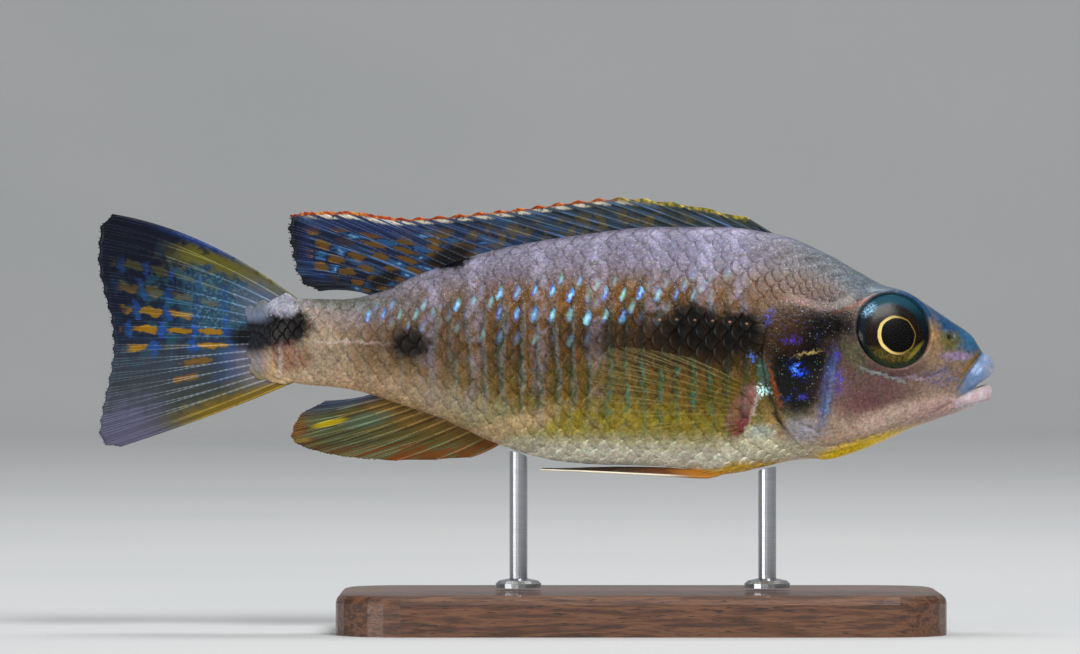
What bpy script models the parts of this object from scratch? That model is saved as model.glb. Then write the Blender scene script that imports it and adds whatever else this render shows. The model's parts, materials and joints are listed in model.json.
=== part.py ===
"""An azure cichlid, life size and still, nose a little down, held on a display stand by two rods.

Every size is in millimetres until a mesh is made. X runs along the fish, its nose towards +X. Y runs across,
its left side at +Y. Z is height above the table, and the origin is the middle of the stand's underside.
"""
import math

import bmesh
import bpy
from mathutils import Matrix, Vector

MM = 0.001

GAP = 0.3
FULL_TURN = 2 * math.pi

# Side outline of the body without its fins, as (x, z), from the end of the tail stalk to the lips.
BACK_LINE = [(-45.4, 37.6), (-44.3, 39.7), (-41.9, 40.9), (-36.8, 40.8), (-32.9, 41.4), (-29.4, 42.9),
             (-24.5, 44.8), (-17.2, 47.0), (-7.4, 48.7), (2.5, 49.7), (9.8, 49.7), (17.2, 48.7), (23.3, 46.2),
             (29.4, 42.6), (34.3, 40.5), (38.0, 38.1), (40.7, 36.2), (41.6, 34.8), (42.3, 33.4), (42.8, 31.9)]
BELLY_LINE = [(-45.4, 33.6), (-44.3, 31.4), (-41.9, 30.2), (-36.8, 29.7), (-33.1, 28.9), (-29.4, 27.7),
              (-24.5, 26.0), (-17.2, 22.7), (-9.8, 20.7), (-4.9, 20.3), (2.5, 20.1), (7.0, 19.6),
              (9.8, 19.05), (12.3, 19.35), (15.9, 20.2), (19.6, 20.9), (23.3, 21.1), (25.8, 21.7), (29.4, 23.1),
              (33.1, 24.8), (36.8, 26.1), (39.9, 27.1), (41.3, 27.7), (42.2, 28.7), (42.8, 30.1)]
# Height of the widest level of each section, and half the body's width there.
WIDEST_LEVEL = [(-45.4, 35.6), (-29.4, 35.1), (-17.2, 34.7), (7.4, 34.2), (17.2, 33.8), (23.3, 32.6),
                (30.7, 31.8), (36.8, 31.4), (42.8, 31.0)]
HALF_WIDTH = [(-45.4, 0.4), (-44.3, 0.8), (-41.9, 1.35), (-36.8, 2.1), (-29.4, 3.3), (-20.9, 4.7),
              (-9.8, 6.1), (2.5, 7.0), (12.3, 7.2), (17.2, 7.0), (23.3, 6.5), (29.4, 5.6),
              (34.3, 4.5), (38.0, 3.5), (40.7, 2.6), (41.8, 2.05), (42.4, 1.5), (42.8, 0.9)]
# How square the sections are above and below the widest level: 2 is an ellipse, and more is squarer.
ROOF_SQUARENESS = [(-45.4, 2.0), (-17.2, 1.85), (9.8, 1.8), (20.0, 2.0), (29.4, 2.8), (38.0, 2.4),
                   (42.8, 2.1)]
KEEL_SQUARENESS = [(-45.4, 2.0), (0.0, 2.0), (12.0, 2.15), (29.4, 2.1), (42.8, 2.2)]
BODY_STATION_STEP = 2.4
HEAD_STATION_STEP = 1.05
SNOUT_STATION_STEP = 0.5
STALK_STATION_STEP = 1.2
SNOUT_STATIONS_FROM = 39.5
HEAD_STATIONS_FROM = 12.5
STALK_STATIONS_FROM = -38.0
TRUNK_RING = 36
HEAD_RING = 52

# The gill cover's hind edge, as (z, x): the head ends there and the trunk begins.
GILL_EDGE = [(16.0, 25.2), (20.9, 22.3), (22.7, 19.6), (24.9, 17.7), (27.7, 16.3), (30.5, 15.3), (33.5, 14.8),
             (36.3, 15.1), (40.0, 16.1), (43.7, 17.5), (48.0, 19.3), (54.0, 21.6)]
GILL_STEP = 0.4
GILL_STEP_REACH = 6.0
GILL_STEP_LEVELS = (23.0, 42.5)
# The plate of the gill cover, as (x, z) round its front: the hind edge above closes it.
GILL_PLATE_FRONT = [(16.3, 39.9), (18.2, 41.6), (23.0, 40.9), (24.2, 36.0), (24.3, 29.5), (23.8, 25.0),
                    (21.6, 22.5), (18.9, 23.4)]
GILL_PLATE_HEIGHTS = (24.0, 39.4)
GILL_PLATE_INSIDE = 4.3

TRUNK_END = [(16.0, -27.0), (35.0, -29.0), (60.0, -27.0)]

EYE_CENTRE = (30.9, 36.9)
EYE_RADIUS = 4.95
EYE_HALF_DEPTH = 2.7
EYE_BULGE = 1.3
ORBIT_RIM_RISE = 0.25
ORBIT_RIM_WIDTH = 1.1
NOSTRIL_CENTRE = (37.9, 36.2)
NOSTRIL_RADIUS = 0.38

# The mouth's opening in side view: a gape between the lips' fronts that closes to a slit at the corner.
MOUTH_GAPE = [(38.4, 28.6), (41.7, 30.75), (42.3, 31.3), (44.5, 31.6), (44.5, 30.3), (42.3, 30.2),
              (41.8, 30.1), (38.5, 28.35)]
# Each lip is a tube round the snout: its middle and corner as (x, z), then half its depth and height at each.
UPPER_LIP = [(42.75, 32.5), (39.0, 29.45), (1.1, 1.5), (0.55, 0.7)]
LOWER_LIP = [(42.6, 29.2), (38.6, 28.0), (1.05, 1.1), (0.45, 0.45)]
LIP_SINK = 0.35
LIP_CORNER_SINK = 0.55
LIP_STEPS = 18
LIP_SIDES = 12

MEMBRANE = 0.5
RAY_ROOT = 0.95
PAIRED_RAY_ROOT = 0.75
RAY_TIP = 0.55
RAY_SIDES = (0.3, 0.7)
FIN_SINK = 1.4

DORSAL_SPINES = 16
DORSAL_SOFT_RAYS = 12
# Roots on the back by x, first spine to last soft ray, and tips as (x, z).
DORSAL_ROOTS = [(0, 16.9), (5, 6.0), (15, -17.3), (16, -19.2), (27, -32.6)]
DORSAL_TIPS = [(0, 12.9, 50.8), (1, 8.5, 51.8), (2, 4.0, 52.6), (4, -2.4, 53.2), (6, -7.6, 52.8),
               (10, -17.3, 51.6), (15, -29.4, 50.7), (16, -31.5, 50.9), (18, -36.2, 51.5),
               (20, -41.0, 51.4), (21, -42.9, 51.0), (22, -43.2, 49.4), (23, -43.0, 47.7),
               (25, -42.3, 44.3), (26, -41.4, 42.6), (27, -39.4, 41.7)]
DORSAL_ROWS = 4
DORSAL_NOTCH = 0.5

ANAL_RAYS = 12
ANAL_ROOTS = [(0, -17.3), (3, -22.0), (11, -32.2)]
ANAL_TIPS = [(0, -21.0, 21.3), (1, -25.2, 21.0), (2, -30.0, 20.9), (3, -33.7, 21.1), (5, -38.6, 21.8),
             (7, -42.3, 23.1), (8, -42.8, 23.9), (9, -42.5, 25.1), (10, -41.6, 26.6), (11, -38.6, 28.2)]
ANAL_ROWS = 5
ANAL_NOTCH = 0.25

CAUDAL_RAYS = 18
CAUDAL_ROOTS = [(0, -41.6, 40.3), (3, -43.6, 38.7), (8, -44.6, 36.0), (9, -44.6, 35.3), (14, -43.6, 32.3),
                (17, -41.6, 31.0)]
CAUDAL_TIPS = [(0, -64.7, 51.1), (1, -66.2, 49.5), (3, -66.5, 45.6), (5, -65.8, 41.5), (7, -64.9, 37.9),
               (9, -64.7, 34.6), (11, -65.2, 31.0), (13, -66.0, 27.4), (15, -66.4, 24.3), (16, -65.6, 22.8),
               (17, -63.8, 22.6)]
CAUDAL_ROWS = 6
CAUDAL_NOTCH = 0.35
# How far the outermost rays bow upwards between root and tip: those of the upper lobe, then the lower.
CAUDAL_BOW = (1.75, -0.3)
CAUDAL_WAVE = 0.7

PECTORAL_RAYS = 13
PECTORAL_BASE_TOP = (13.7, 29.6)
PECTORAL_BASE_FOOT = (12.5, 24.8)
PECTORAL_LENGTHS = [(0, 9.0), (3, 19.0), (5, 20.5), (8, 17.5), (12, 8.5)]
PECTORAL_ANGLES = [(0, 27.0), (6, 10.0), (12, -22.0)]
PECTORAL_FLARE_DEG = 13.0
PECTORAL_ROWS = 5
PECTORAL_NOTCH = 0.25

PELVIC_RAYS = 6
# Roots and tips as (x, y), outermost ray first.
PELVIC_ROOT = (11.2, 2.6)
PELVIC_ROOT_INNER = (8.9, 1.1)
PELVIC_TIPS = [(0, -12.3, 2.4), (1, -11.6, 2.0), (3, -7.4, 1.3), (5, -0.5, 0.7)]
# The outermost ray's height along x, and how far the innermost ray hangs below the belly's skin.
PELVIC_EDGE = [(-12.3, 20.05), (-7.5, 19.75), (-0.5, 19.4), (6.6, 19.05), (11.2, 18.95)]
PELVIC_INNER_DROP = 0.72
# Rows stand closer near the root, where the fin turns away from the belly.
PELVIC_ROW_CROWDING = 1.5
PELVIC_ROWS = 5
PELVIC_NOTCH = 0.25

STAND_BASE_SIZE = (74.0, 38.0, 5.0)
STAND_BASE_CORNER = 8.0
STAND_CORNER_STEPS = 6
STAND_BASE_BEVEL = 1.1
STAND_ROD_X = {"front": 15.6, "rear": -14.9}
STAND_ROD_RADIUS = 1.1
STAND_FOOT_RADIUS = 2.8
STAND_FOOT_HEIGHT = 0.9
STAND_ROD_SIDES = 20

COLOURS = {
    "skin": ((0.42, 0.36, 0.32), 0.35, 0.1),
    "fin": ((0.14, 0.17, 0.24), 0.4, 0.0),
    "belly_fin": ((0.30, 0.20, 0.06), 0.4, 0.0),
    "eye": ((0.03, 0.03, 0.025), 0.08, 0.0),
    "wood": ((0.09, 0.045, 0.022), 0.45, 0.0),
    "steel": ((0.55, 0.56, 0.58), 0.3, 1.0),
}


def clear_scene():
    for item in list(bpy.data.objects):
        bpy.data.objects.remove(item)


def smooth_step(low, high, value):
    share = min(1.0, max(0.0, (value - low) / (high - low)))
    return share * share * (3 - 2 * share)


def through(knots, at):
    """The value at a place of a smooth curve through knots, each (place, value, ...)."""
    if at <= knots[0][0]:
        return list(knots[0][1:])
    if at >= knots[-1][0]:
        return list(knots[-1][1:])
    i = max(k for k in range(len(knots) - 1) if knots[k][0] <= at)
    low, high = knots[i], knots[i + 1]
    step = high[0] - low[0]
    share = (at - low[0]) / step
    value = []
    for axis in range(1, len(low)):
        chord = (high[axis] - low[axis]) / step
        tangents = []
        for k in (i, i + 1):
            if 0 < k < len(knots) - 1:
                before = (knots[k][axis] - knots[k - 1][axis]) / (knots[k][0] - knots[k - 1][0])
                after = (knots[k + 1][axis] - knots[k][axis]) / (knots[k + 1][0] - knots[k][0])
                tangents.append(0.0 if before * after <= 0 else 2 * before * after / (before + after))
            else:
                tangents.append(chord)
        rise = high[axis] - low[axis]
        bend_in = tangents[0] * step - rise
        bend_out = rise - tangents[1] * step
        value.append(low[axis] + share * rise
                     + share * (1 - share) * ((1 - share) * bend_in + share * bend_out))
    return value


def body_section(x, turn, grow=0.0):
    """The point (y, z) of the body's plain section at x, turn radians round from the top of the back."""
    level = through(WIDEST_LEVEL, x)[0]
    half_width = through(HALF_WIDTH, x)[0] + grow
    up = math.cos(turn)
    side = math.sin(turn)
    if up >= 0:
        height = through(BACK_LINE, x)[0] - level + grow
        squareness = through(ROOF_SQUARENESS, x)[0]
    else:
        height = level - through(BELLY_LINE, x)[0] + grow
        squareness = through(KEEL_SQUARENESS, x)[0]
    power = 2 / squareness
    y = math.copysign(half_width * abs(side) ** power, side)
    z = level + math.copysign(height * abs(up) ** power, up)
    return y, z


def flank(x, z, side):
    """The point of the plain body at x and z, on the side at y > 0 (side 1) or y < 0 (side -1)."""
    level = through(WIDEST_LEVEL, x)[0]
    if z >= level:
        height = through(BACK_LINE, x)[0] - level
        squareness = through(ROOF_SQUARENESS, x)[0]
    else:
        height = level - through(BELLY_LINE, x)[0]
        squareness = through(KEEL_SQUARENESS, x)[0]
    share = min(1.0, abs(z - level) / height)
    half = through(HALF_WIDTH, x)[0] * (1 - share ** squareness) ** (1 / squareness)
    return Vector((x, side * half, z))


def under_belly(x, y):
    """Height of the body's underside at x and y."""
    level = through(WIDEST_LEVEL, x)[0]
    squareness = through(KEEL_SQUARENESS, x)[0]
    share = min(1.0, abs(y) / through(HALF_WIDTH, x)[0])
    return level - (level - through(BELLY_LINE, x)[0]) * (1 - share ** squareness) ** (1 / squareness)


def flank_normal(x, z, side):
    reach = 0.4
    along = flank(x + reach, z, side) - flank(x - reach, z, side)
    up = flank(x, z + reach, side) - flank(x, z - reach, side)
    return (up.cross(along) * side).normalized()


def gill_step(x, z):
    """How far the gill cover stands out: most at its hind edge, at the middle of its height."""
    ahead = x - through(GILL_EDGE, z)[0]
    low, high = GILL_STEP_LEVELS
    window = smooth_step(low, low + 4, z) * (1 - smooth_step(high - 4, high, z))
    return GILL_STEP * window * (1 - smooth_step(0, GILL_STEP_REACH, ahead))


def orbit_rise(x, z):
    away = math.hypot(x - EYE_CENTRE[0], z - EYE_CENTRE[1]) - EYE_RADIUS
    return ORBIT_RIM_RISE * math.exp(-(away / ORBIT_RIM_WIDTH) ** 2)


def head_relief(x, z):
    return gill_step(x, z) + orbit_rise(x, z)


def no_relief(x, z):
    return 0.0


def stations(low, high):
    """Places along the body from high to low: close together at the lips and the tail stalk's end."""
    places = []
    x = BACK_LINE[-1][0]
    while x > BACK_LINE[0][0] + STALK_STATION_STEP:
        places.append(x)
        if x > SNOUT_STATIONS_FROM:
            x -= SNOUT_STATION_STEP
        elif x > HEAD_STATIONS_FROM:
            x -= HEAD_STATION_STEP
        elif x > STALK_STATIONS_FROM:
            x -= BODY_STATION_STEP
        else:
            x -= STALK_STATION_STEP
    places.append(BACK_LINE[0][0])
    return [x for x in places if low <= x <= high]


def mesh_object(name, vertices, faces, material):
    """A mesh object from points in millimetres."""
    mesh = bpy.data.meshes.new(name)
    mesh.from_pydata([Vector(v) * MM for v in vertices], [], faces)
    mesh.validate()
    mesh.shade_smooth()
    mesh.set_sharp_from_angle(angle=math.radians(40))
    made = bpy.data.objects.new(name, mesh)
    bpy.context.scene.collection.objects.link(made)
    if material:
        mesh.materials.append(material)
    turn_out(made)
    return made


def turn_out(item):
    """Makes every face of a closed mesh point outwards."""
    work = bmesh.new()
    work.from_mesh(item.data)
    bmesh.ops.recalc_face_normals(work, faces=work.faces)
    if work.calc_volume(signed=True) < 0:
        bmesh.ops.reverse_faces(work, faces=work.faces)
    work.to_mesh(item.data)
    work.free()


def body_loft(name, low, high, ring, relief, grow=0.0):
    """The closed body between two places along it, with its relief pushed out from each section."""
    vertices = []
    places = stations(low, high)
    for x in places:
        level = through(WIDEST_LEVEL, x)[0]
        shift = grow if x == places[0] else -grow if x == places[-1] else 0.0
        for k in range(ring):
            y, z = body_section(x, FULL_TURN * k / ring, grow)
            out = Vector((y, z - level))
            rise = relief(x, z)
            if out.length > 0:
                out += out.normalized() * rise
            vertices.append((x + shift, out.x, level + out.y))
    faces = []
    for i in range(len(places) - 1):
        for k in range(ring):
            after = (k + 1) % ring
            faces.append((i * ring + k, i * ring + after, (i + 1) * ring + after, (i + 1) * ring + k))
    last = (len(places) - 1) * ring
    for start in (0, last):
        for k in range(1, ring // 2):
            mirror = ring - k
            if k == 1:
                faces.append((start, start + 1, start + mirror))
            if k + 1 == ring // 2:
                faces.append((start + k, start + k + 1, start + mirror))
            else:
                faces.append((start + k, start + k + 1, start + mirror - 1, start + mirror))
    return mesh_object(name, vertices, faces, None)


def extruded(name, outline, near, far):
    """A prism of a side outline of (x, z) points, from y = near to y = far."""
    count = len(outline)
    vertices = [(x, near, z) for x, z in outline] + [(x, far, z) for x, z in outline]
    faces = [tuple(range(count)), tuple(range(2 * count - 1, count - 1, -1))]
    faces += [(k, (k + 1) % count, count + (k + 1) % count, count + k) for k in range(count)]
    return mesh_object(name, vertices, faces, None)


def edge_points(edge, shift, step=1.2):
    """Points down a cutting edge given as (z, x), moved by shift along x."""
    low, high = edge[0][0], edge[-1][0]
    count = round((high - low) / step)
    heights = [low + (high - low) * k / count for k in range(count + 1)]
    return [(through(edge, z)[0] + shift, z) for z in heights]


def apply_boolean(target, other, operation, solver="EXACT"):
    """Joins or cuts the target with another object, or with a collection, and removes what it used."""
    modifier = target.modifiers.new("join", "BOOLEAN")
    modifier.operation = operation
    modifier.solver = solver
    if isinstance(other, bpy.types.Collection):
        modifier.operand_type = "COLLECTION"
        modifier.collection = other
        used = list(other.objects)
    else:
        modifier.object = other
        used = [other]
    bpy.context.view_layer.update()
    graph = bpy.context.evaluated_depsgraph_get()
    result = bpy.data.meshes.new_from_object(target.evaluated_get(graph))
    target.modifiers.clear()
    target.data = result
    for item in used:
        bpy.data.objects.remove(item)
    if isinstance(other, bpy.types.Collection):
        bpy.data.collections.remove(other)


def keep_largest(item):
    """Drops every closed surface but the one of most volume."""
    work = bmesh.new()
    work.from_mesh(item.data)
    bmesh.ops.triangulate(work, faces=work.faces)
    left = set(work.faces)
    shells = []
    while left:
        shell = {left.pop()}
        front = list(shell)
        while front:
            face = front.pop()
            for edge in face.edges:
                for other in edge.link_faces:
                    if other in left:
                        left.discard(other)
                        shell.add(other)
                        front.append(other)
        shells.append(shell)

    def volume(shell):
        return sum(f.verts[0].co.dot(f.verts[1].co.cross(f.verts[2].co)) for f in shell) / 6

    shells.sort(key=volume)
    scraps = [face for shell in shells[:-1] for face in shell]
    bmesh.ops.delete(work, geom=scraps, context="FACES")
    work.to_mesh(item.data)
    work.free()


def finish(item, material):
    """Names the finish of a node that is done, and shades its round faces smooth."""
    keep_largest(item)
    item.data.materials.clear()
    item.data.materials.append(material)
    item.data.shade_smooth()
    item.data.set_sharp_from_angle(angle=math.radians(40))
    return item


def grown_body():
    """The body a gap wider all round: what stands on the body is cut by it, and so meets it face to face."""
    return body_loft("body_cutter", BACK_LINE[0][0], BACK_LINE[-1][0], TRUNK_RING, no_relief, GAP)


def eyeball(side, grow=0.0):
    """An eyeball a little flatter than a ball, sunk in the side of the head and facing straight out of it."""
    name = "eye_left" if side > 0 else "eye_right"
    x, z = EYE_CENTRE
    normal = flank_normal(x, z, side)
    centre = flank(x, z, side) - normal * (EYE_HALF_DEPTH - EYE_BULGE)
    radius = EYE_RADIUS + grow
    depth = EYE_HALF_DEPTH + grow
    work = bmesh.new()
    bmesh.ops.create_uvsphere(work, u_segments=26, v_segments=12, radius=1)
    turn = normal.to_track_quat("Z", "Y").to_matrix().to_4x4()
    shape = Matrix.Diagonal((radius, radius, depth, 1))
    bmesh.ops.transform(work, matrix=Matrix.Scale(MM, 4) @ Matrix.Translation(centre) @ turn @ shape,
                        verts=work.verts)
    mesh = bpy.data.meshes.new(name)
    work.to_mesh(mesh)
    work.free()
    made = bpy.data.objects.new(name, mesh)
    bpy.context.scene.collection.objects.link(made)
    turn_out(made)
    return made


def rounded(line, times=2):
    """An open line of points with its corners cut, again and again, into a curve between the same ends."""
    for _ in range(times):
        cut = [line[0]]
        for a, b in zip(line, line[1:]):
            cut += [a.lerp(b, 0.25), a.lerp(b, 0.75)]
        line = cut[:1] + cut[2:-1] + [line[-1]]
    return line


def gill_plate_prism(name, side, grow):
    """The block that the gill cover fills, on one side; grown, it is the hole in the head round the cover."""
    low, high = GILL_PLATE_HEIGHTS
    hind = [(x, z) for x, z in edge_points(GILL_EDGE, GAP / 2 - grow) if low < z < high]
    front = rounded([Vector(p) for p in GILL_PLATE_FRONT])
    middle = sum(front, Vector((0, 0))) / len(front)
    front = [p + (p - middle).normalized() * grow for p in front]
    outline = hind + [tuple(p) for p in front]
    near = side * (GILL_PLATE_INSIDE - grow)
    return extruded(name, outline, near, side * 12)


def nostril_cutter(side):
    x, z = NOSTRIL_CENTRE
    centre = flank(x, z, side)
    work = bmesh.new()
    bmesh.ops.create_uvsphere(work, u_segments=10, v_segments=8, radius=NOSTRIL_RADIUS * MM,
                              matrix=Matrix.Translation(centre * MM))
    mesh = bpy.data.meshes.new("nostril_cutter")
    work.to_mesh(mesh)
    work.free()
    made = bpy.data.objects.new("nostril_cutter", mesh)
    bpy.context.scene.collection.objects.link(made)
    turn_out(made)
    return made


def lip(name, line):
    """A closed tube round the snout, from corner to corner of the mouth and full in its middle."""
    front, corner, front_size, corner_size = (Vector(pair) for pair in line)
    corner_width = flank(*corner, 1).y
    vertices = []
    for j in range(LIP_STEPS + 1):
        turn = math.pi * (j / LIP_STEPS - 0.5)
        share = math.cos(turn)
        size = corner_size.lerp(front_size, share)
        sink = LIP_SINK * size.x + LIP_CORNER_SINK * (1 - share) ** 4
        x, z = corner.lerp(front, share)
        out = Vector((share, math.sin(turn), 0))
        middle = Vector((x, corner_width * math.sin(turn), z)) - out * sink
        for k in range(LIP_SIDES):
            around = FULL_TURN * k / LIP_SIDES
            point = middle + out * size.x * math.cos(around)
            point.z += size.y * math.sin(around)
            vertices.append(point)
    faces = [tuple(range(LIP_SIDES)), tuple(range(len(vertices) - 1, len(vertices) - LIP_SIDES - 1, -1))]
    for j in range(LIP_STEPS):
        for k in range(LIP_SIDES):
            after = (k + 1) % LIP_SIDES
            faces.append((j * LIP_SIDES + k, j * LIP_SIDES + after,
                          (j + 1) * LIP_SIDES + after, (j + 1) * LIP_SIDES + k))
    return mesh_object(name, vertices, faces, None)


def make_head(skin):
    """Head with lips, mouth, nostrils and eye sockets, and a plate for each gill cover."""
    low = min(x for z, x in GILL_EDGE) - 2
    covers = {}
    loft = body_loft("head", low, BACK_LINE[-1][0], HEAD_RING, head_relief)
    front_block = extruded("front_block", edge_points(GILL_EDGE, GAP / 2) + [(50, 60), (50, 10)], -12, 12)
    apply_boolean(loft, front_block, "INTERSECT")
    for side, name in ((1, "left"), (-1, "right")):
        apply_boolean(loft, eyeball(side, GAP), "DIFFERENCE")
        cover = loft.copy()
        cover.data = loft.data.copy()
        cover.name = f"gill_cover_{name}"
        bpy.context.scene.collection.objects.link(cover)
        covers[side] = cover
    for side in (1, -1):
        apply_boolean(covers[side], gill_plate_prism("plate", side, 0.0), "INTERSECT")
        apply_boolean(loft, gill_plate_prism("plate_hole", side, GAP), "DIFFERENCE")
        apply_boolean(loft, nostril_cutter(side), "DIFFERENCE")
        finish(covers[side], skin)
    apply_boolean(loft, extruded("mouth_cutter", MOUTH_GAPE, -8, 8), "DIFFERENCE")
    lips = bpy.data.collections.new("lips")
    for name, line in (("upper_lip", UPPER_LIP), ("lower_lip", LOWER_LIP)):
        lips.objects.link(lip(name, line))
    apply_boolean(loft, lips, "UNION")
    return finish(loft, skin)


def make_trunk(skin):
    loft = body_loft("trunk", TRUNK_END[0][1] - 4, 26.0, TRUNK_RING, no_relief)
    outline = edge_points(TRUNK_END, GAP / 2) + list(reversed(edge_points(GILL_EDGE, -GAP / 2)))
    apply_boolean(loft, extruded("middle_block", outline, -12, 12), "INTERSECT")
    return finish(loft, skin)


def make_tail_stalk(skin):
    loft = body_loft("tail_stalk", BACK_LINE[0][0], TRUNK_END[0][1] + 2, TRUNK_RING, no_relief)
    outline = edge_points(TRUNK_END, -GAP / 2) + [(-50, 60), (-50, 16)]
    apply_boolean(loft, extruded("rear_block", outline, -12, 12), "INTERSECT")
    return finish(loft, skin)


def make_eye(side, material):
    return finish(eyeball(side), material)


def ray_points(root, tip, rows, bend=0.0, sway=0.0):
    """Points up a ray from root to tip. Bend lifts its middle towards +Z, and sway moves its tip along Y."""
    root, tip = Vector(root), Vector(tip)
    points = []
    for j in range(rows + 1):
        share = j / rows
        point = root.lerp(tip, share)
        point.z += bend * 4 * share * (1 - share)
        point.y += sway * share * share
        points.append(point)
    return points


def fin_solid(name, rays, notch, material, ray_root=RAY_ROOT):
    """One closed membrane through its rays, with each ray a ridge that rises from both faces.

    Rays are lists of points from root to tip. Between two rays the margin is notched by that depth.
    """
    columns = []
    for a, b in zip(rays, rays[1:]):
        columns.append((a, True))
        for share in RAY_SIDES:
            between = [p.lerp(q, share) for p, q in zip(a, b)]
            inward = between[-2] - between[-1]
            between[-1] = between[-1] + inward.normalized() * min(notch, inward.length / 2)
            columns.append((between, False))
    columns.append((rays[-1], True))
    rows = len(rays[0])
    count = len(columns)

    def place(i, j):
        return columns[min(max(i, 0), count - 1)][0][min(max(j, 0), rows - 1)]

    faces, front, back = [], [], []
    for i, (points, is_ray) in enumerate(columns):
        for j, point in enumerate(points):
            across = place(i + 1, j) - place(i - 1, j)
            along = place(i, j + 1) - place(i, j - 1)
            normal = along.cross(across).normalized()
            share = j / (rows - 1)
            thick = ray_root + (RAY_TIP - ray_root) * share if is_ray else MEMBRANE
            front.append(point + normal * thick / 2)
            back.append(point - normal * thick / 2)
    size = len(front)

    def corner(i, j, other=False):
        return i * rows + j + (size if other else 0)

    for i in range(count - 1):
        for j in range(rows - 1):
            a, b, c, d = corner(i, j), corner(i + 1, j), corner(i + 1, j + 1), corner(i, j + 1)
            faces += [(a, b, c), (a, c, d)]
            faces += [(size + a, size + c, size + b), (size + a, size + d, size + c)]
    rim = [(i, 0) for i in range(count)] + [(count - 1, j) for j in range(1, rows)]
    rim += [(i, rows - 1) for i in range(count - 2, -1, -1)] + [(0, j) for j in range(rows - 2, 0, -1)]
    for (i, j), (k, m) in zip(rim, rim[1:] + rim[:1]):
        a, b = corner(i, j), corner(k, m)
        faces += [(a, size + a, size + b), (a, size + b, b)]
    return mesh_object(name, front + back, faces, material)


def rooted(fin, material, solver="EXACT"):
    """Cuts the sunk roots of a fin off at the body's surface, a gap away from it."""
    apply_boolean(fin, grown_body(), "DIFFERENCE", solver)
    return finish(fin, material)


def make_dorsal_fin(material):
    """Leaning spines, then soft rays that trail over the tail stalk."""
    rays = []
    for k in range(DORSAL_SPINES + DORSAL_SOFT_RAYS):
        x = through(DORSAL_ROOTS, k)[0]
        tip_x, tip_z = through(DORSAL_TIPS, k)
        root = Vector((x, 0, through(BACK_LINE, x)[0]))
        tip = Vector((tip_x, 0, tip_z))
        root -= (tip - root).normalized() * FIN_SINK
        root.z -= FIN_SINK / 2
        soft = smooth_step(DORSAL_SPINES, DORSAL_SPINES + DORSAL_SOFT_RAYS, k)
        rays.append(ray_points(root, tip, DORSAL_ROWS, bend=0.6 * soft, sway=0.5 * soft))
    return rooted(fin_solid("dorsal_fin", rays, DORSAL_NOTCH, material), material)


def make_anal_fin(material):
    rays = []
    for k in range(ANAL_RAYS):
        x = through(ANAL_ROOTS, k)[0]
        tip_x, tip_z = through(ANAL_TIPS, k)
        root = Vector((x, 0, through(BELLY_LINE, x)[0]))
        tip = Vector((tip_x, 0, tip_z))
        root -= (tip - root).normalized() * FIN_SINK
        root.z += FIN_SINK / 2
        rays.append(ray_points(root, tip, ANAL_ROWS, bend=-0.3, sway=-0.4 * k / ANAL_RAYS))
    return rooted(fin_solid("anal_fin", rays, ANAL_NOTCH, material), material)


def make_caudal_fin(material):
    """The tail fin, its lobes swung a little apart from the middle as in a slow turn."""
    rays = []
    for k in range(CAUDAL_RAYS):
        root_x, root_z = through(CAUDAL_ROOTS, k)
        tip_x, tip_z = through(CAUDAL_TIPS, k)
        root, tip = Vector((root_x, 0, root_z)), Vector((tip_x, 0, tip_z))
        across = 2 * k / (CAUDAL_RAYS - 1) - 1
        bow = CAUDAL_BOW[0] * (-across) ** 1.5 if across < 0 else CAUDAL_BOW[1] * across
        rays.append(ray_points(root, tip, CAUDAL_ROWS, bend=bow, sway=CAUDAL_WAVE * across))
    return rooted(fin_solid("caudal_fin", rays, CAUDAL_NOTCH, material), material)


def make_pectoral_fin(side, material):
    """A fan from the shoulder that trails along the flank and stands off it by a small angle."""
    name = "pectoral_fin_left" if side > 0 else "pectoral_fin_right"
    top, foot = Vector(PECTORAL_BASE_TOP), Vector(PECTORAL_BASE_FOOT)
    flare = math.radians(PECTORAL_FLARE_DEG)
    rays = []
    for k in range(PECTORAL_RAYS):
        root = flank(*top.lerp(foot, k / (PECTORAL_RAYS - 1)), side)
        length = through(PECTORAL_LENGTHS, k)[0]
        angle = math.radians(through(PECTORAL_ANGLES, k)[0])
        out = side * math.sin(flare)
        way = Vector((-math.cos(angle) * math.cos(flare), out, math.sin(angle) * math.cos(flare)))
        start = root - way * FIN_SINK - Vector((0, side * 0.5, 0))
        rays.append(ray_points(start, root + way * length, PECTORAL_ROWS, bend=0.2, sway=-side * 0.8))
    return rooted(fin_solid(name, rays, PECTORAL_NOTCH, material, PAIRED_RAY_ROOT), material)


def make_pelvic_fin(side, material):
    """A narrow fan folded back along the belly, its leading ray outermost and longest."""
    name = "pelvic_fin_left" if side > 0 else "pelvic_fin_right"
    rays = []
    for k in range(PELVIC_RAYS):
        root = Vector(PELVIC_ROOT).lerp(Vector(PELVIC_ROOT_INNER), k / (PELVIC_RAYS - 1))
        tip = Vector(through(PELVIC_TIPS, k))
        ray = []
        for j in range(PELVIC_ROWS + 1):
            x, y = root.lerp(tip, (j / PELVIC_ROWS) ** PELVIC_ROW_CROWDING)
            outer = through(PELVIC_EDGE, x)[0]
            inner = under_belly(x, y) - PELVIC_INNER_DROP
            z = outer + (inner - outer) * k / (PELVIC_RAYS - 1)
            if j == 0:
                z = under_belly(x, y) + FIN_SINK * 0.7
            ray.append(Vector((x, side * y, z)))
        rays.append(ray)
    return rooted(fin_solid(name, rays, PELVIC_NOTCH, material, PAIRED_RAY_ROOT), material, "MANIFOLD")


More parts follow.
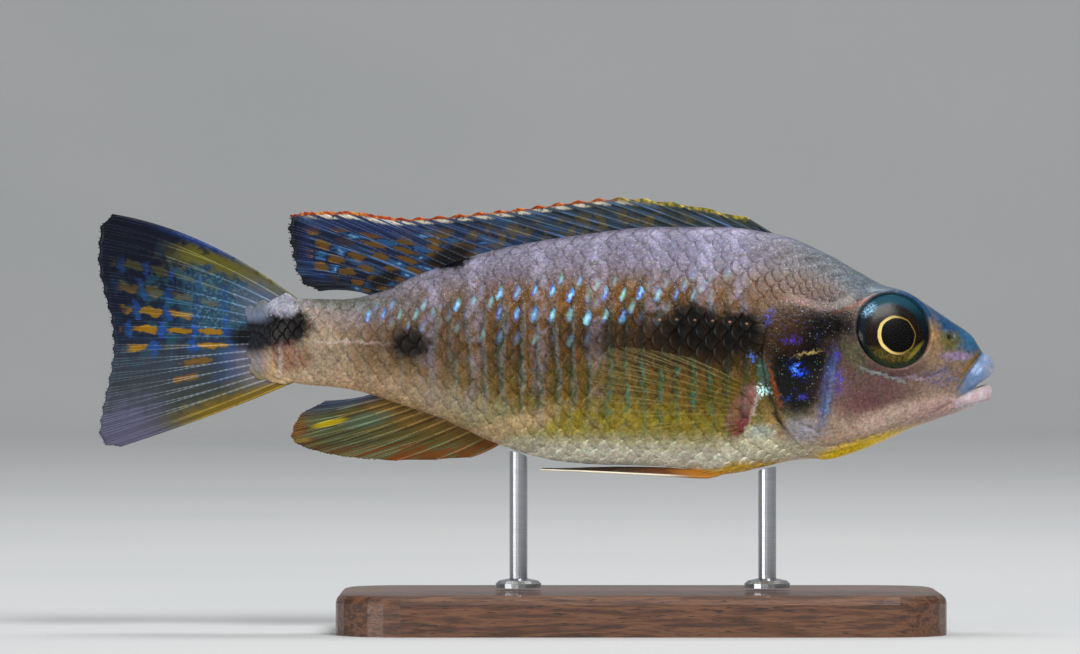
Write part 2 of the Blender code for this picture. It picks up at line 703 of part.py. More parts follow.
def make_stand_base(material):
    """A low plaque with round corners and eased edges."""
    length, width, height = STAND_BASE_SIZE
    work = bmesh.new()
    outline = []
    for quarter, (sx, sy) in enumerate(((1, 1), (-1, 1), (-1, -1), (1, -1))):
        centre = Vector((sx * (length / 2 - STAND_BASE_CORNER), sy * (width / 2 - STAND_BASE_CORNER), 0))
        for k in range(STAND_CORNER_STEPS + 1):
            turn = math.pi / 2 * (quarter + k / STAND_CORNER_STEPS)
            out = Vector((math.cos(turn), math.sin(turn), 0))
            outline.append(work.verts.new((centre + STAND_BASE_CORNER * out) * MM))
    face = work.faces.new(outline)
    raised = bmesh.ops.extrude_face_region(work, geom=[face])["geom"]
    raised_points = [v for v in raised if isinstance(v, bmesh.types.BMVert)]
    bmesh.ops.translate(work, vec=(0, 0, height * MM), verts=raised_points)
    top_edges = [e for e in work.edges if all(v.co.z > height * MM / 2 for v in e.verts)]
    bmesh.ops.bevel(work, geom=top_edges, offset=STAND_BASE_BEVEL * MM, segments=3, affect="EDGES",
                    profile=0.5)
    mesh = bpy.data.meshes.new("stand_base")
    work.to_mesh(mesh)
    work.free()
    made = bpy.data.objects.new("stand_base", mesh)
    bpy.context.scene.collection.objects.link(made)
    turn_out(made)
    return finish(made, material)


def make_stand_rod(place, x, material):
    """A rod with a round foot on the base. Its top is cut to the belly that it carries."""
    floor = STAND_BASE_SIZE[2] + GAP
    top = through(BELLY_LINE, x)[0] + 2
    profile = [(STAND_FOOT_RADIUS, floor), (STAND_FOOT_RADIUS, floor + STAND_FOOT_HEIGHT * 0.6),
               (STAND_FOOT_RADIUS * 0.85, floor + STAND_FOOT_HEIGHT),
               (STAND_ROD_RADIUS, floor + STAND_FOOT_HEIGHT * 1.3), (STAND_ROD_RADIUS, top)]
    vertices = []
    for radius, z in profile:
        for k in range(STAND_ROD_SIDES):
            turn = FULL_TURN * k / STAND_ROD_SIDES
            vertices.append((x + radius * math.cos(turn), radius * math.sin(turn), z))
    sides = STAND_ROD_SIDES
    faces = [tuple(range(sides)), tuple(range(len(vertices) - 1, len(vertices) - sides - 1, -1))]
    for i in range(len(profile) - 1):
        for k in range(sides):
            after = (k + 1) % sides
            faces.append((i * sides + k, i * sides + after, (i + 1) * sides + after, (i + 1) * sides + k))
    return rooted(mesh_object(f"stand_rod_{place}", vertices, faces, material), material)


def make_materials():
    made = {}
    for name, (colour, roughness, metallic) in COLOURS.items():
        material = bpy.data.materials.new(name)
        material.use_nodes = True
        shader = material.node_tree.nodes["Principled BSDF"]
        shader.inputs["Base Color"].default_value = (*colour, 1)
        shader.inputs["Roughness"].default_value = roughness
        shader.inputs["Metallic"].default_value = metallic
        made[name] = material
    return made


def main():
    clear_scene()
    materials = make_materials()
    make_head(materials["skin"])
    make_trunk(materials["skin"])
    make_tail_stalk(materials["skin"])
    make_dorsal_fin(materials["fin"])
    make_anal_fin(materials["belly_fin"])
    make_caudal_fin(materials["fin"])
    for side in (1, -1):
        make_eye(side, materials["eye"])
        make_pectoral_fin(side, materials["fin"])
        make_pelvic_fin(side, materials["belly_fin"])
    make_stand_base(materials["wood"])
    for place, x in STAND_ROD_X.items():
        make_stand_rod(place, x, materials["steel"])


main()
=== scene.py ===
"""An azure cichlid as a painted museum model, held by a display stand, in plain studio light.

The skin, scales, fins and eyes are made here at life size in millimetres and scaled to metres as each mesh is
made. X runs towards the nose, Y towards the fish's left side and Z up from the table.
"""
import json
import math
import random

import bmesh
import bpy
import numpy as np
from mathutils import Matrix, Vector

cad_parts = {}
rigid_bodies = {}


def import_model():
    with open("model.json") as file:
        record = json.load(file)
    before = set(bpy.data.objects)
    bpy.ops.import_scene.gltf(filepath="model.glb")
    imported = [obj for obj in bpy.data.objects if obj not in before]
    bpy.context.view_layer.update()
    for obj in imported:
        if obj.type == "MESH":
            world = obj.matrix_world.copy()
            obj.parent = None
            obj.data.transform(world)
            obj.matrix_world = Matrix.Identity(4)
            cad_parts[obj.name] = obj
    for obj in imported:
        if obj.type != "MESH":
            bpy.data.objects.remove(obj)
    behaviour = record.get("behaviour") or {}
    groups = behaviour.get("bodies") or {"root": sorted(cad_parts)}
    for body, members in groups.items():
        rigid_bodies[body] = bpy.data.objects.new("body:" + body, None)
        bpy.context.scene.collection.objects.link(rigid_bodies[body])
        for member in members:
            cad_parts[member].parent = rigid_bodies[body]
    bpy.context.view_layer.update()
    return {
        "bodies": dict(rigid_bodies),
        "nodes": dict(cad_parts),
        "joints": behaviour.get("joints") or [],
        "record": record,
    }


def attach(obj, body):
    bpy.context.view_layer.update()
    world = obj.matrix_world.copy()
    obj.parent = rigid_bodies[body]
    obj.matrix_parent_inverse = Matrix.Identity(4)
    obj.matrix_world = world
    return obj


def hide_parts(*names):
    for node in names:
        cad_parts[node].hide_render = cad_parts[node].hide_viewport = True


MM = 0.001
FULL_TURN = 2 * math.pi

# Side outline of the body, its widest level, half width and the squareness of its sections, all by x, and
# the rear edges of the gill cover and the cheek, by z.
BACK_LINE = [(-45.4, 37.6), (-44.3, 39.7), (-41.9, 40.9), (-36.8, 40.8), (-32.9, 41.4), (-29.4, 42.9),
             (-24.5, 44.8), (-17.2, 47.0), (-7.4, 48.7), (2.5, 49.7), (9.8, 49.7), (17.2, 48.7), (23.3, 46.2),
             (29.4, 42.6), (34.3, 40.5), (38.0, 38.1), (40.7, 36.2), (41.6, 34.8), (42.3, 33.4), (42.8, 31.9)]
BELLY_LINE = [(-45.4, 33.6), (-44.3, 31.4), (-41.9, 30.2), (-36.8, 29.7), (-33.1, 28.9), (-29.4, 27.7),
              (-24.5, 26.0), (-17.2, 22.7), (-9.8, 20.7), (-4.9, 20.3), (2.5, 20.1), (7.0, 19.6),
              (9.8, 19.05), (12.3, 19.35), (15.9, 20.2), (19.6, 20.9), (23.3, 21.1), (25.8, 21.7),
              (29.4, 23.1), (33.1, 24.8), (36.8, 26.1), (39.9, 27.1), (41.3, 27.7), (42.2, 28.7),
              (42.8, 30.1)]
WIDEST_LEVEL = [(-45.4, 35.6), (-29.4, 35.1), (-17.2, 34.7), (7.4, 34.2), (17.2, 33.8), (23.3, 32.6),
                (30.7, 31.8), (36.8, 31.4), (42.8, 31.0)]
HALF_WIDTH = [(-45.4, 0.4), (-44.3, 0.8), (-41.9, 1.35), (-36.8, 2.1), (-29.4, 3.3), (-20.9, 4.7),
              (-9.8, 6.1), (2.5, 7.0), (12.3, 7.2), (17.2, 7.0), (23.3, 6.5), (29.4, 5.6),
              (34.3, 4.5), (38.0, 3.5), (40.7, 2.6), (41.8, 2.05), (42.4, 1.5), (42.8, 0.9)]
ROOF_SQUARENESS = [(-45.4, 2.0), (-17.2, 1.85), (9.8, 1.8), (20.0, 2.0), (29.4, 2.8), (38.0, 2.4),
                   (42.8, 2.1)]
KEEL_SQUARENESS = [(-45.4, 2.0), (0.0, 2.0), (12.0, 2.15), (29.4, 2.1), (42.8, 2.2)]
GILL_EDGE = [(16.0, 25.2), (20.9, 22.3), (22.7, 19.6), (24.9, 17.7), (27.7, 16.3), (30.5, 15.3), (33.5, 14.8),
             (36.3, 15.1), (40.0, 16.1), (43.7, 17.5), (48.0, 19.3), (54.0, 21.6)]
CHEEK_EDGE = [(23.2, 28.4), (24.6, 26.2), (27.0, 24.9), (30.0, 24.5), (34.0, 24.6), (38.5, 24.5)]

# The skin's grid in millimetres and its number of triangles. It is sunk by the coat's depth below the scales.
SKIN_VOXEL = 0.19
SKIN_FACES = 185000
COAT_DEPTH = 0.12

EYE_CENTRE = (30.9, 36.9)
EYE_OUTER = 4.75
# Height of the orbit's rim above the skin's plane at the eye.
EYE_RIM_LEVEL = 0.1
IRIS_RISE = 0.55
CORNEA_RISE = 1.2
# How far the middle of the eye's closed back lies behind its rim.
EYE_BACK = 1.2
PUPIL_SHIFT = (0.5, -0.6)
NOSTRIL = (37.9, 36.1)

MOUTH_GAPE = [(38.4, 28.6), (41.7, 30.75), (42.3, 31.3), (44.5, 31.6), (44.5, 30.3), (42.3, 30.2),
              (41.8, 30.1), (38.5, 28.35)]
UPPER_LIP = [(42.75, 32.5), (39.0, 29.45), (1.1, 1.5), (0.55, 0.7)]
LOWER_LIP = [(42.7, 29.2), (38.6, 28.0), (0.9, 1.1), (0.3, 0.4)]

DORSAL_SPINES = 16
DORSAL_RAYS = 28
DORSAL_ROOTS = [(0, 16.9), (5, 6.0), (15, -17.3), (16, -19.2), (27, -32.6)]
DORSAL_TIPS = [(0, 12.9, 50.8), (1, 8.5, 51.8), (2, 4.0, 52.6), (4, -2.4, 53.2), (6, -7.6, 52.8),
               (10, -17.3, 51.6), (15, -29.4, 50.7), (16, -31.5, 50.9), (18, -36.2, 51.5),
               (20, -41.0, 51.4), (21, -42.9, 51.0), (22, -43.2, 49.4), (23, -43.0, 47.7),
               (25, -42.3, 44.3), (26, -41.4, 42.6), (27, -39.4, 41.7)]
ANAL_RAYS = 12
ANAL_ROOTS = [(0, -17.3), (3, -22.0), (11, -32.2)]
ANAL_TIPS = [(0, -21.0, 21.3), (1, -25.2, 21.0), (2, -30.0, 20.9), (3, -33.7, 21.1), (5, -38.6, 21.8),
             (7, -42.3, 23.1), (8, -42.8, 23.9), (9, -42.5, 25.1), (10, -41.6, 26.6), (11, -38.6, 28.2)]
CAUDAL_RAYS = 18
CAUDAL_ROOTS = [(0, -41.6, 40.3), (3, -43.6, 38.7), (8, -44.6, 36.0), (9, -44.6, 35.3), (14, -43.6, 32.3),
                (17, -41.6, 31.0)]
CAUDAL_TIPS = [(0, -64.7, 51.1), (1, -66.2, 49.5), (3, -66.5, 45.6), (5, -65.8, 41.5), (7, -64.9, 37.9),
               (9, -64.7, 34.6), (11, -65.2, 31.0), (13, -66.0, 27.4), (15, -66.4, 24.3), (16, -65.6, 22.8),
               (17, -63.8, 22.6)]
# How far the outermost rays of the upper and lower lobe bow upwards, and how far the lobes swing sideways.
CAUDAL_BOW = (1.75, -0.3)
CAUDAL_WAVE = 0.7
PECTORAL_RAYS = 13
PECTORAL_BASE_TOP = (13.7, 29.6)
PECTORAL_BASE_FOOT = (12.5, 24.8)
PECTORAL_LENGTHS = [(0, 9.0), (3, 19.0), (5, 20.5), (8, 17.5), (12, 8.5)]
PECTORAL_ANGLES = [(0, 27.0), (6, 10.0), (12, -22.0)]
PECTORAL_FLARE_DEG = 13.0
PELVIC_RAYS = 6
PELVIC_ROOT = (13.4, 1.5)
PELVIC_ROOT_INNER = (8.9, 1.1)
PELVIC_TIPS = [(0, -12.3, 2.4), (1, -11.8, 2.0), (3, -10.0, 1.3), (5, -7.0, 0.7)]
# The outermost ray's height along x, and how far the innermost ray hangs below the belly's skin.
PELVIC_EDGE = [(-12.3, 19.85), (-7.5, 19.65), (-0.5, 19.3), (6.6, 18.95), (9.2, 18.85), (11.5, 19.05),
               (13.4, 19.5)]
PELVIC_INNER_DROP = 0.25
FIN_SINK = 1.4

SCALE_PITCH = [(-46.0, 1.15), (-40.0, 1.6), (-30.0, 1.95), (-10.0, 2.15), (10.0, 2.15), (17.0, 1.75),
               (27.0, 0.95)]
LARGEST_PITCH = 2.15
SCALE_ROW_SHARE = 0.66
# Rows of scales above the flank's widest level, and as many below it. Those past the outline fall away.
SCALE_ROWS_EACH_WAY = 24
# Half a scale's length and height, as shares of the pitch.
SCALE_HALF = (0.74, 0.74)
# Half the size of one scale on the coat's map.
SCALE_MAP_SHARE = 0.0015
# Small scales cover this share of the tail fin's rays from their roots, in so many columns and rows.
TAIL_SCALE_REACH = 0.17
TAIL_SCALE_COLUMNS = 5
TAIL_SCALE_ROWS = 14
# The pale pores along the flank: from and to x, at this height.
PORE_LINE = (2.5, 14.5, 37.95)
# The scales on the nape end ahead at x, and below at this line of (x, z).
NAPE_FRONT = 26.6
NAPE_FOOT = [(14.5, 37.6), (15.6, 38.4), (16.7, 40.0), (18.5, 40.7), (20.9, 40.1), (22.3, 39.6), (24.8, 40.3),
             (27.5, 42.2)]


def through(knots, at):
    """The value at a place of a smooth curve through knots, each (place, value, ...)."""
    if at <= knots[0][0]:
        return list(knots[0][1:])
    if at >= knots[-1][0]:
        return list(knots[-1][1:])
    i = max(k for k in range(len(knots) - 1) if knots[k][0] <= at)
    low, high = knots[i], knots[i + 1]
    step = high[0] - low[0]
    share = (at - low[0]) / step
    value = []
    for axis in range(1, len(low)):
        chord = (high[axis] - low[axis]) / step
        tangents = []
        for k in (i, i + 1):
            if 0 < k < len(knots) - 1:
                before = (knots[k][axis] - knots[k - 1][axis]) / (knots[k][0] - knots[k - 1][0])
                after = (knots[k + 1][axis] - knots[k][axis]) / (knots[k + 1][0] - knots[k][0])
                tangents.append(0.0 if before * after <= 0 else 2 * before * after / (before + after))
            else:
                tangents.append(chord)
        rise = high[axis] - low[axis]
        bend_in = tangents[0] * step - rise
        bend_out = rise - tangents[1] * step
        value.append(low[axis] + share * rise
                     + share * (1 - share) * ((1 - share) * bend_in + share * bend_out))
    return value


class Curve:
    """A smooth curve through knots, tabled finely enough to be read for whole arrays of places."""

    def __init__(self, knots):
        step = 0.1
        self.places = np.arange(knots[0][0], knots[-1][0] + step, step)
        self.values = np.array([through(knots, place)[0] for place in self.places])

    def __call__(self, place):
        return np.interp(place, self.places, self.values)


back = Curve(BACK_LINE)
belly = Curve(BELLY_LINE)
widest_level = Curve(WIDEST_LEVEL)
half_width = Curve(HALF_WIDTH)
roof_squareness = Curve(ROOF_SQUARENESS)
keel_squareness = Curve(KEEL_SQUARENESS)
gill_edge = Curve(GILL_EDGE)
cheek_edge = Curve(CHEEK_EDGE)
scale_pitch = Curve(SCALE_PITCH)
nape_foot = Curve(NAPE_FOOT)
pelvic_edge = Curve(PELVIC_EDGE)


def smooth_step(low, high, value):
    """0 below low, 1 above high and smooth between them."""
    share = np.clip((value - low) / (high - low), 0, 1)
    return share * share * (3 - 2 * share)


def span(value, rise_from, rise_to, fall_from, fall_to):
    """1 between two ends, with a smooth slope at each."""
    return smooth_step(rise_from, rise_to, value) * (1 - smooth_step(fall_from, fall_to, value))


def bump(value, width):
    """1 at value 0, and next to nothing beyond twice the width."""
    return np.exp(-(value / width) ** 2)


def unit(vectors):
    return vectors / np.maximum(np.linalg.norm(vectors, axis=-1, keepdims=True), 1e-9)


def section(x, turn):
    """Points (y, z) of the body's sections at x, turn radians round from the top of the back."""
    level = widest_level(x)
    up, side = np.cos(turn), np.sin(turn)
    roof = up >= 0
    height = np.where(roof, back(x) - level, level - belly(x))
    power = 2 / np.where(roof, roof_squareness(x), keel_squareness(x))
    y = np.sign(side) * half_width(x) * np.abs(side) ** power
    z = level + np.sign(up) * height * np.abs(up) ** power
    return y, z


def flank_width(x, z):
    """Half the body's width at x and z, or 0 outside its side outline."""
    level = widest_level(x)
    roof = z >= level
    height = np.where(roof, back(x) - level, level - belly(x))
    squareness = np.where(roof, roof_squareness(x), keel_squareness(x))
    share = np.clip(np.abs(z - level) / height, 0, 1)
    return half_width(x) * (1 - share ** squareness) ** (1 / squareness)


def rise_share(x, z):
    """0 on the belly's line and 1 on the back's."""
    return np.clip((z - belly(x)) / (back(x) - belly(x)), 0, 1)


def mesh_piece(name, points, faces, material=None):
    """A smooth mesh object from points in millimetres."""
    mesh = bpy.data.meshes.new(name)
    mesh.from_pydata((np.asarray(points, float) * MM).tolist(), [], faces)
    mesh.shade_smooth()
    made = bpy.data.objects.new(name, mesh)
    bpy.context.scene.collection.objects.link(made)
    if material:
        mesh.materials.append(material)
    return made


def point_values(piece, name, values):
    layer = piece.data.attributes.new(name, "FLOAT", "POINT")
    layer.data.foreach_set("value", np.asarray(values, np.float32).ravel())


def corner_map(piece, name, per_point):
    """A UV map from one (u, v) pair for each point of the mesh."""
    layer = piece.data.uv_layers.new(name=name)
    corners = np.zeros(len(piece.data.loops), int)
    piece.data.loops.foreach_get("vertex_index", corners)
    layer.data.foreach_set("uv", np.asarray(per_point, np.float32)[corners].ravel())


def vertex_array(piece, kind):
    """The vertices' places in metres, for kind "co", or their normals, for kind "normal"."""
    vectors = np.zeros(len(piece.data.vertices) * 3)
    piece.data.vertices.foreach_get(kind, vectors)
    return vectors.reshape(-1, 3)


def point_array(piece):
    """The vertices' places in millimetres."""
    return vertex_array(piece, "co") / MM


def set_points(piece, points):
    piece.data.vertices.foreach_set("co", (points * MM).ravel())
    piece.data.update()


def turn_out(piece):
    """Makes every face of a closed mesh point outwards."""
    work = bmesh.new()
    work.from_mesh(piece.data)
    bmesh.ops.recalc_face_normals(work, faces=work.faces)
    if work.calc_volume(signed=True) < 0:
        bmesh.ops.reverse_faces(work, faces=work.faces)
    work.to_mesh(piece.data)
    work.free()


def modify(piece, kind, **settings):
    """Changes the piece's mesh by one modifier."""
    modifier = piece.modifiers.new("change", kind)
    for key, value in settings.items():
        setattr(modifier, key, value)
    bpy.context.view_layer.update()
    graph = bpy.context.evaluated_depsgraph_get()
    result = bpy.data.meshes.new_from_object(piece.evaluated_get(graph))
    piece.modifiers.clear()
    piece.data = result


def combine(body, operation, points, faces):
    """Joins a closed form to the body, or cuts it away."""
    other = mesh_piece("other", points, faces)
    turn_out(other)
    modify(body, "BOOLEAN", operation=operation, solver="MANIFOLD", object=other)
    bpy.data.objects.remove(other)


def tube_faces(rows, sides):
    """Quads of a tube of rows rings, with both ends capped."""
    faces = []
    for j in range(rows - 1):
        for k in range(sides):
            after = (k + 1) % sides
            faces.append((j * sides + k, j * sides + after, (j + 1) * sides + after, (j + 1) * sides + k))
    faces.append(tuple(range(sides - 1, -1, -1)))
    faces.append(tuple(range((rows - 1) * sides, rows * sides)))
    return faces


def disc_faces(rings, spokes):
    """A fan round point 0, then quads between rings of spokes points."""
    faces = [(0, 1 + k, 1 + (k + 1) % spokes) for k in range(spokes)]
    for ring in range(rings - 1):
        low = 1 + ring * spokes
        for k in range(spokes):
            after = (k + 1) % spokes
            faces.append((low + k, low + spokes + k, low + spokes + after, low + after))
    return faces


def paint(code):
    """A linear colour from six hexadecimal digits of display colour."""
    channels = [int(code[k:k + 2], 16) / 255 for k in (0, 2, 4)]
    return tuple(c / 12.92 if c <= 0.04045 else ((c + 0.055) / 1.055) ** 2.4 for c in channels)


LOOKS = {"colour": "Base Color", "roughness": "Roughness", "metallic": "Metallic", "alpha": "Alpha",
         "specular": "Specular IOR Level", "coat": "Coat Weight", "coat_roughness": "Coat Roughness"}


class Graph:
    """Builds a node tree in short calls. A value is a number, tuple, colour code or another node's output."""

    def __init__(self, tree):
        self.tree = tree

    def put(self, socket, value):
        if isinstance(value, bpy.types.NodeSocket):
            self.tree.links.new(value, socket)
        elif isinstance(value, str):
            socket.default_value = (*paint(value), 1)
        else:
            socket.default_value = value

    def node(self, kind, inputs=None, **settings):
        made = self.tree.nodes.new("ShaderNode" + kind)
        for key, value in settings.items():
            setattr(made, key, value)
        for key, value in (inputs or {}).items():
            self.put(made.inputs[key], value)
        return made

    def math(self, operation, first, second=0.0, third=0.0):
        return self.node("Math", {0: first, 1: second, 2: third}, operation=operation).outputs[0]

    def vector_math(self, operation, first, second=(0, 0, 0)):
        made = self.node("VectorMath", {0: first, 1: second}, operation=operation)
        return made.outputs["Value" if operation in ("LENGTH", "DISTANCE") else "Vector"]

    def plus(self, first, second):
        return self.math("ADD", first, second)

    def minus(self, first, second):
        return self.math("SUBTRACT", first, second)

    def over(self, first, second):
        return self.math("DIVIDE", first, second)

    def scaled(self, value, factor, offset):
        return self.math("MULTIPLY_ADD", value, factor, offset)

    def times(self, *values):
        product = values[0]
        for value in values[1:]:
            product = self.math("MULTIPLY", product, value)
        return product

    def window(self, value, low, high, soft):
        """1 between low and high, with soft ends."""
        begins = self.rise(value, low - soft, low + soft)
        return self.times(begins, self.rise(value, high + soft, high - soft))

    def part(self, vector, axis):
        return self.node("SeparateXYZ", {0: vector}).outputs[axis]

    def vector(self, first, second, third=0.0):
        return self.node("CombineXYZ", {0: first, 1: second, 2: third}).outputs[0]

    def grey(self, value):
        return self.vector(value, value, value)

    def stretched(self, vector, factors):
        return self.vector_math("MULTIPLY", vector, factors)

    def shaded(self, colour, light):
        return self.mix(1.0, colour, self.grey(light), "MULTIPLY")

    def length(self, first, second):
        """The length of a flat vector of two parts."""
        return self.vector_math("LENGTH", self.vector(first, second))

    def lay(self, colour, tone, *shares):
        """The colour with a tone laid over it, as strongly as the product of the shares."""
        return self.mix(self.times(*shares), colour, tone)

    def mix(self, share, first, second, blend="MIX"):
        made = self.node("Mix", {0: share, 6: first, 7: second}, data_type="RGBA", blend_type=blend)
        return made.outputs[2]

    def rise(self, value, low, high):
        """0 below low, 1 above high and smooth between them. High may be the lower of the two."""
        made = self.node("MapRange", {"Value": value, "From Min": low, "From Max": high},
                         interpolation_type="SMOOTHSTEP")
        return made.outputs[0]

    def blend(self, value, stops):
        """A colour that runs through stops of (place, colour)."""
        made = self.node("ValToRGB", {0: value})
        ramp = made.color_ramp
        ramp.interpolation = "EASE"
        while len(ramp.elements) < len(stops):
            ramp.elements.new(0.5)
        for element, stop in zip(ramp.elements, stops):
            element.position = stop[0]
        for element, stop in zip(ramp.elements, stops):
            element.color = (*paint(stop[1]), 1)
        return made.outputs[0]

    def noise(self, vector, scale, detail=2.0, roughness=0.5, output="Fac"):
        inputs = {"Vector": vector, "Scale": scale, "Detail": detail, "Roughness": roughness}
        return self.node("TexNoise", inputs).outputs[output]

    def cells(self, vector, scale):
        """Cells strewn at random: the distance from each one's middle, and two chances of its own."""
        made = self.node("TexVoronoi", {"Vector": vector, "Scale": scale})
        own = self.node("SeparateColor", {0: made.outputs["Color"]}).outputs
        return made.outputs["Distance"], own[0], own[1]

    def stray(self, vector, scale, detail, roughness):
        """A vector that strays by noise up to a half either way."""
        noise = self.noise(vector, scale, detail, roughness, "Color")
        return self.vector_math("SUBTRACT", noise, (0.5, 0.5, 0.5))

    def value_of(self, name):
        return self.node("Attribute", attribute_name=name).outputs["Fac"]

    def place(self):
        """The point in millimetres."""
        spot = self.node("NewGeometry").outputs["Position"]
        return self.stretched(spot, (1 / MM, 1 / MM, 1 / MM))

    def look(self, shader, **values):
        """Sets inputs of a material's shader, by the short names of LOOKS."""
        for name, value in values.items():
            self.put(shader.inputs[LOOKS[name]], value)

    def group(self, tree, inputs=None):
        made = self.node("Group", node_tree=tree)
        for key, value in (inputs or {}).items():
            self.put(made.inputs[key], value)
        return made.outputs


KINDS = {"value": "NodeSocketFloat", "colour": "NodeSocketColor", "vector": "NodeSocketVector"}


def new_group(name, inputs, outputs):
    """An empty group with sockets from (label, kind, default). Returns its graph, inputs and outputs."""
    tree = bpy.data.node_groups.new(name, "ShaderNodeTree")
    for label, kind, default in inputs:
        socket = tree.interface.new_socket(label, in_out="INPUT", socket_type=KINDS[kind])
        socket.default_value = (*default, 1) if kind == "colour" else default
    for label, kind in outputs:
        tree.interface.new_socket(label, in_out="OUTPUT", socket_type=KINDS[kind])
    graph = Graph(tree)
    given = tree.nodes.new("NodeGroupInput").outputs
    out = tree.nodes.new("NodeGroupOutput").inputs
    return graph, given, out


def soft_patch_group():
    """A patch of colour with a soft, ragged edge, at a place in side view."""
    graph, given, out = new_group("Soft patch", [
        ("Place", "vector", (0, 0, 0)), ("Centre", "vector", (0, 0, 0)), ("Half sizes", "vector", (1, 1, 1)),
        ("Lean", "value", 0.0), ("Softness", "value", 0.4)], [("Mask", "value")])
    away = graph.vector_math("SUBTRACT", given["Place"], given["Centre"])
    turned = graph.node("VectorRotate", {"Vector": away, "Axis": (0, -1, 0), "Angle": given["Lean"]},
                        rotation_type="AXIS_ANGLE").outputs[0]
    flat = graph.stretched(turned, (1, 0, 1))
    reach = graph.vector_math("LENGTH", graph.vector_math("DIVIDE", flat, given["Half sizes"]))
    inner = graph.minus(1.0, given["Softness"])
    outer = graph.plus(1.0, given["Softness"])
    graph.put(out["Mask"], graph.rise(reach, outer, inner))
    return graph.tree


def patch_mask(graph, patch, place, centre, halves, lean, softness):
    """The mask of one soft patch, placed by (x, z) in side view."""
    return graph.group(patch, {
        "Place": place, "Centre": (centre[0], 0, centre[1]), "Half sizes": (halves[0], 1, halves[1]),
        "Lean": math.radians(lean), "Softness": softness})["Mask"]


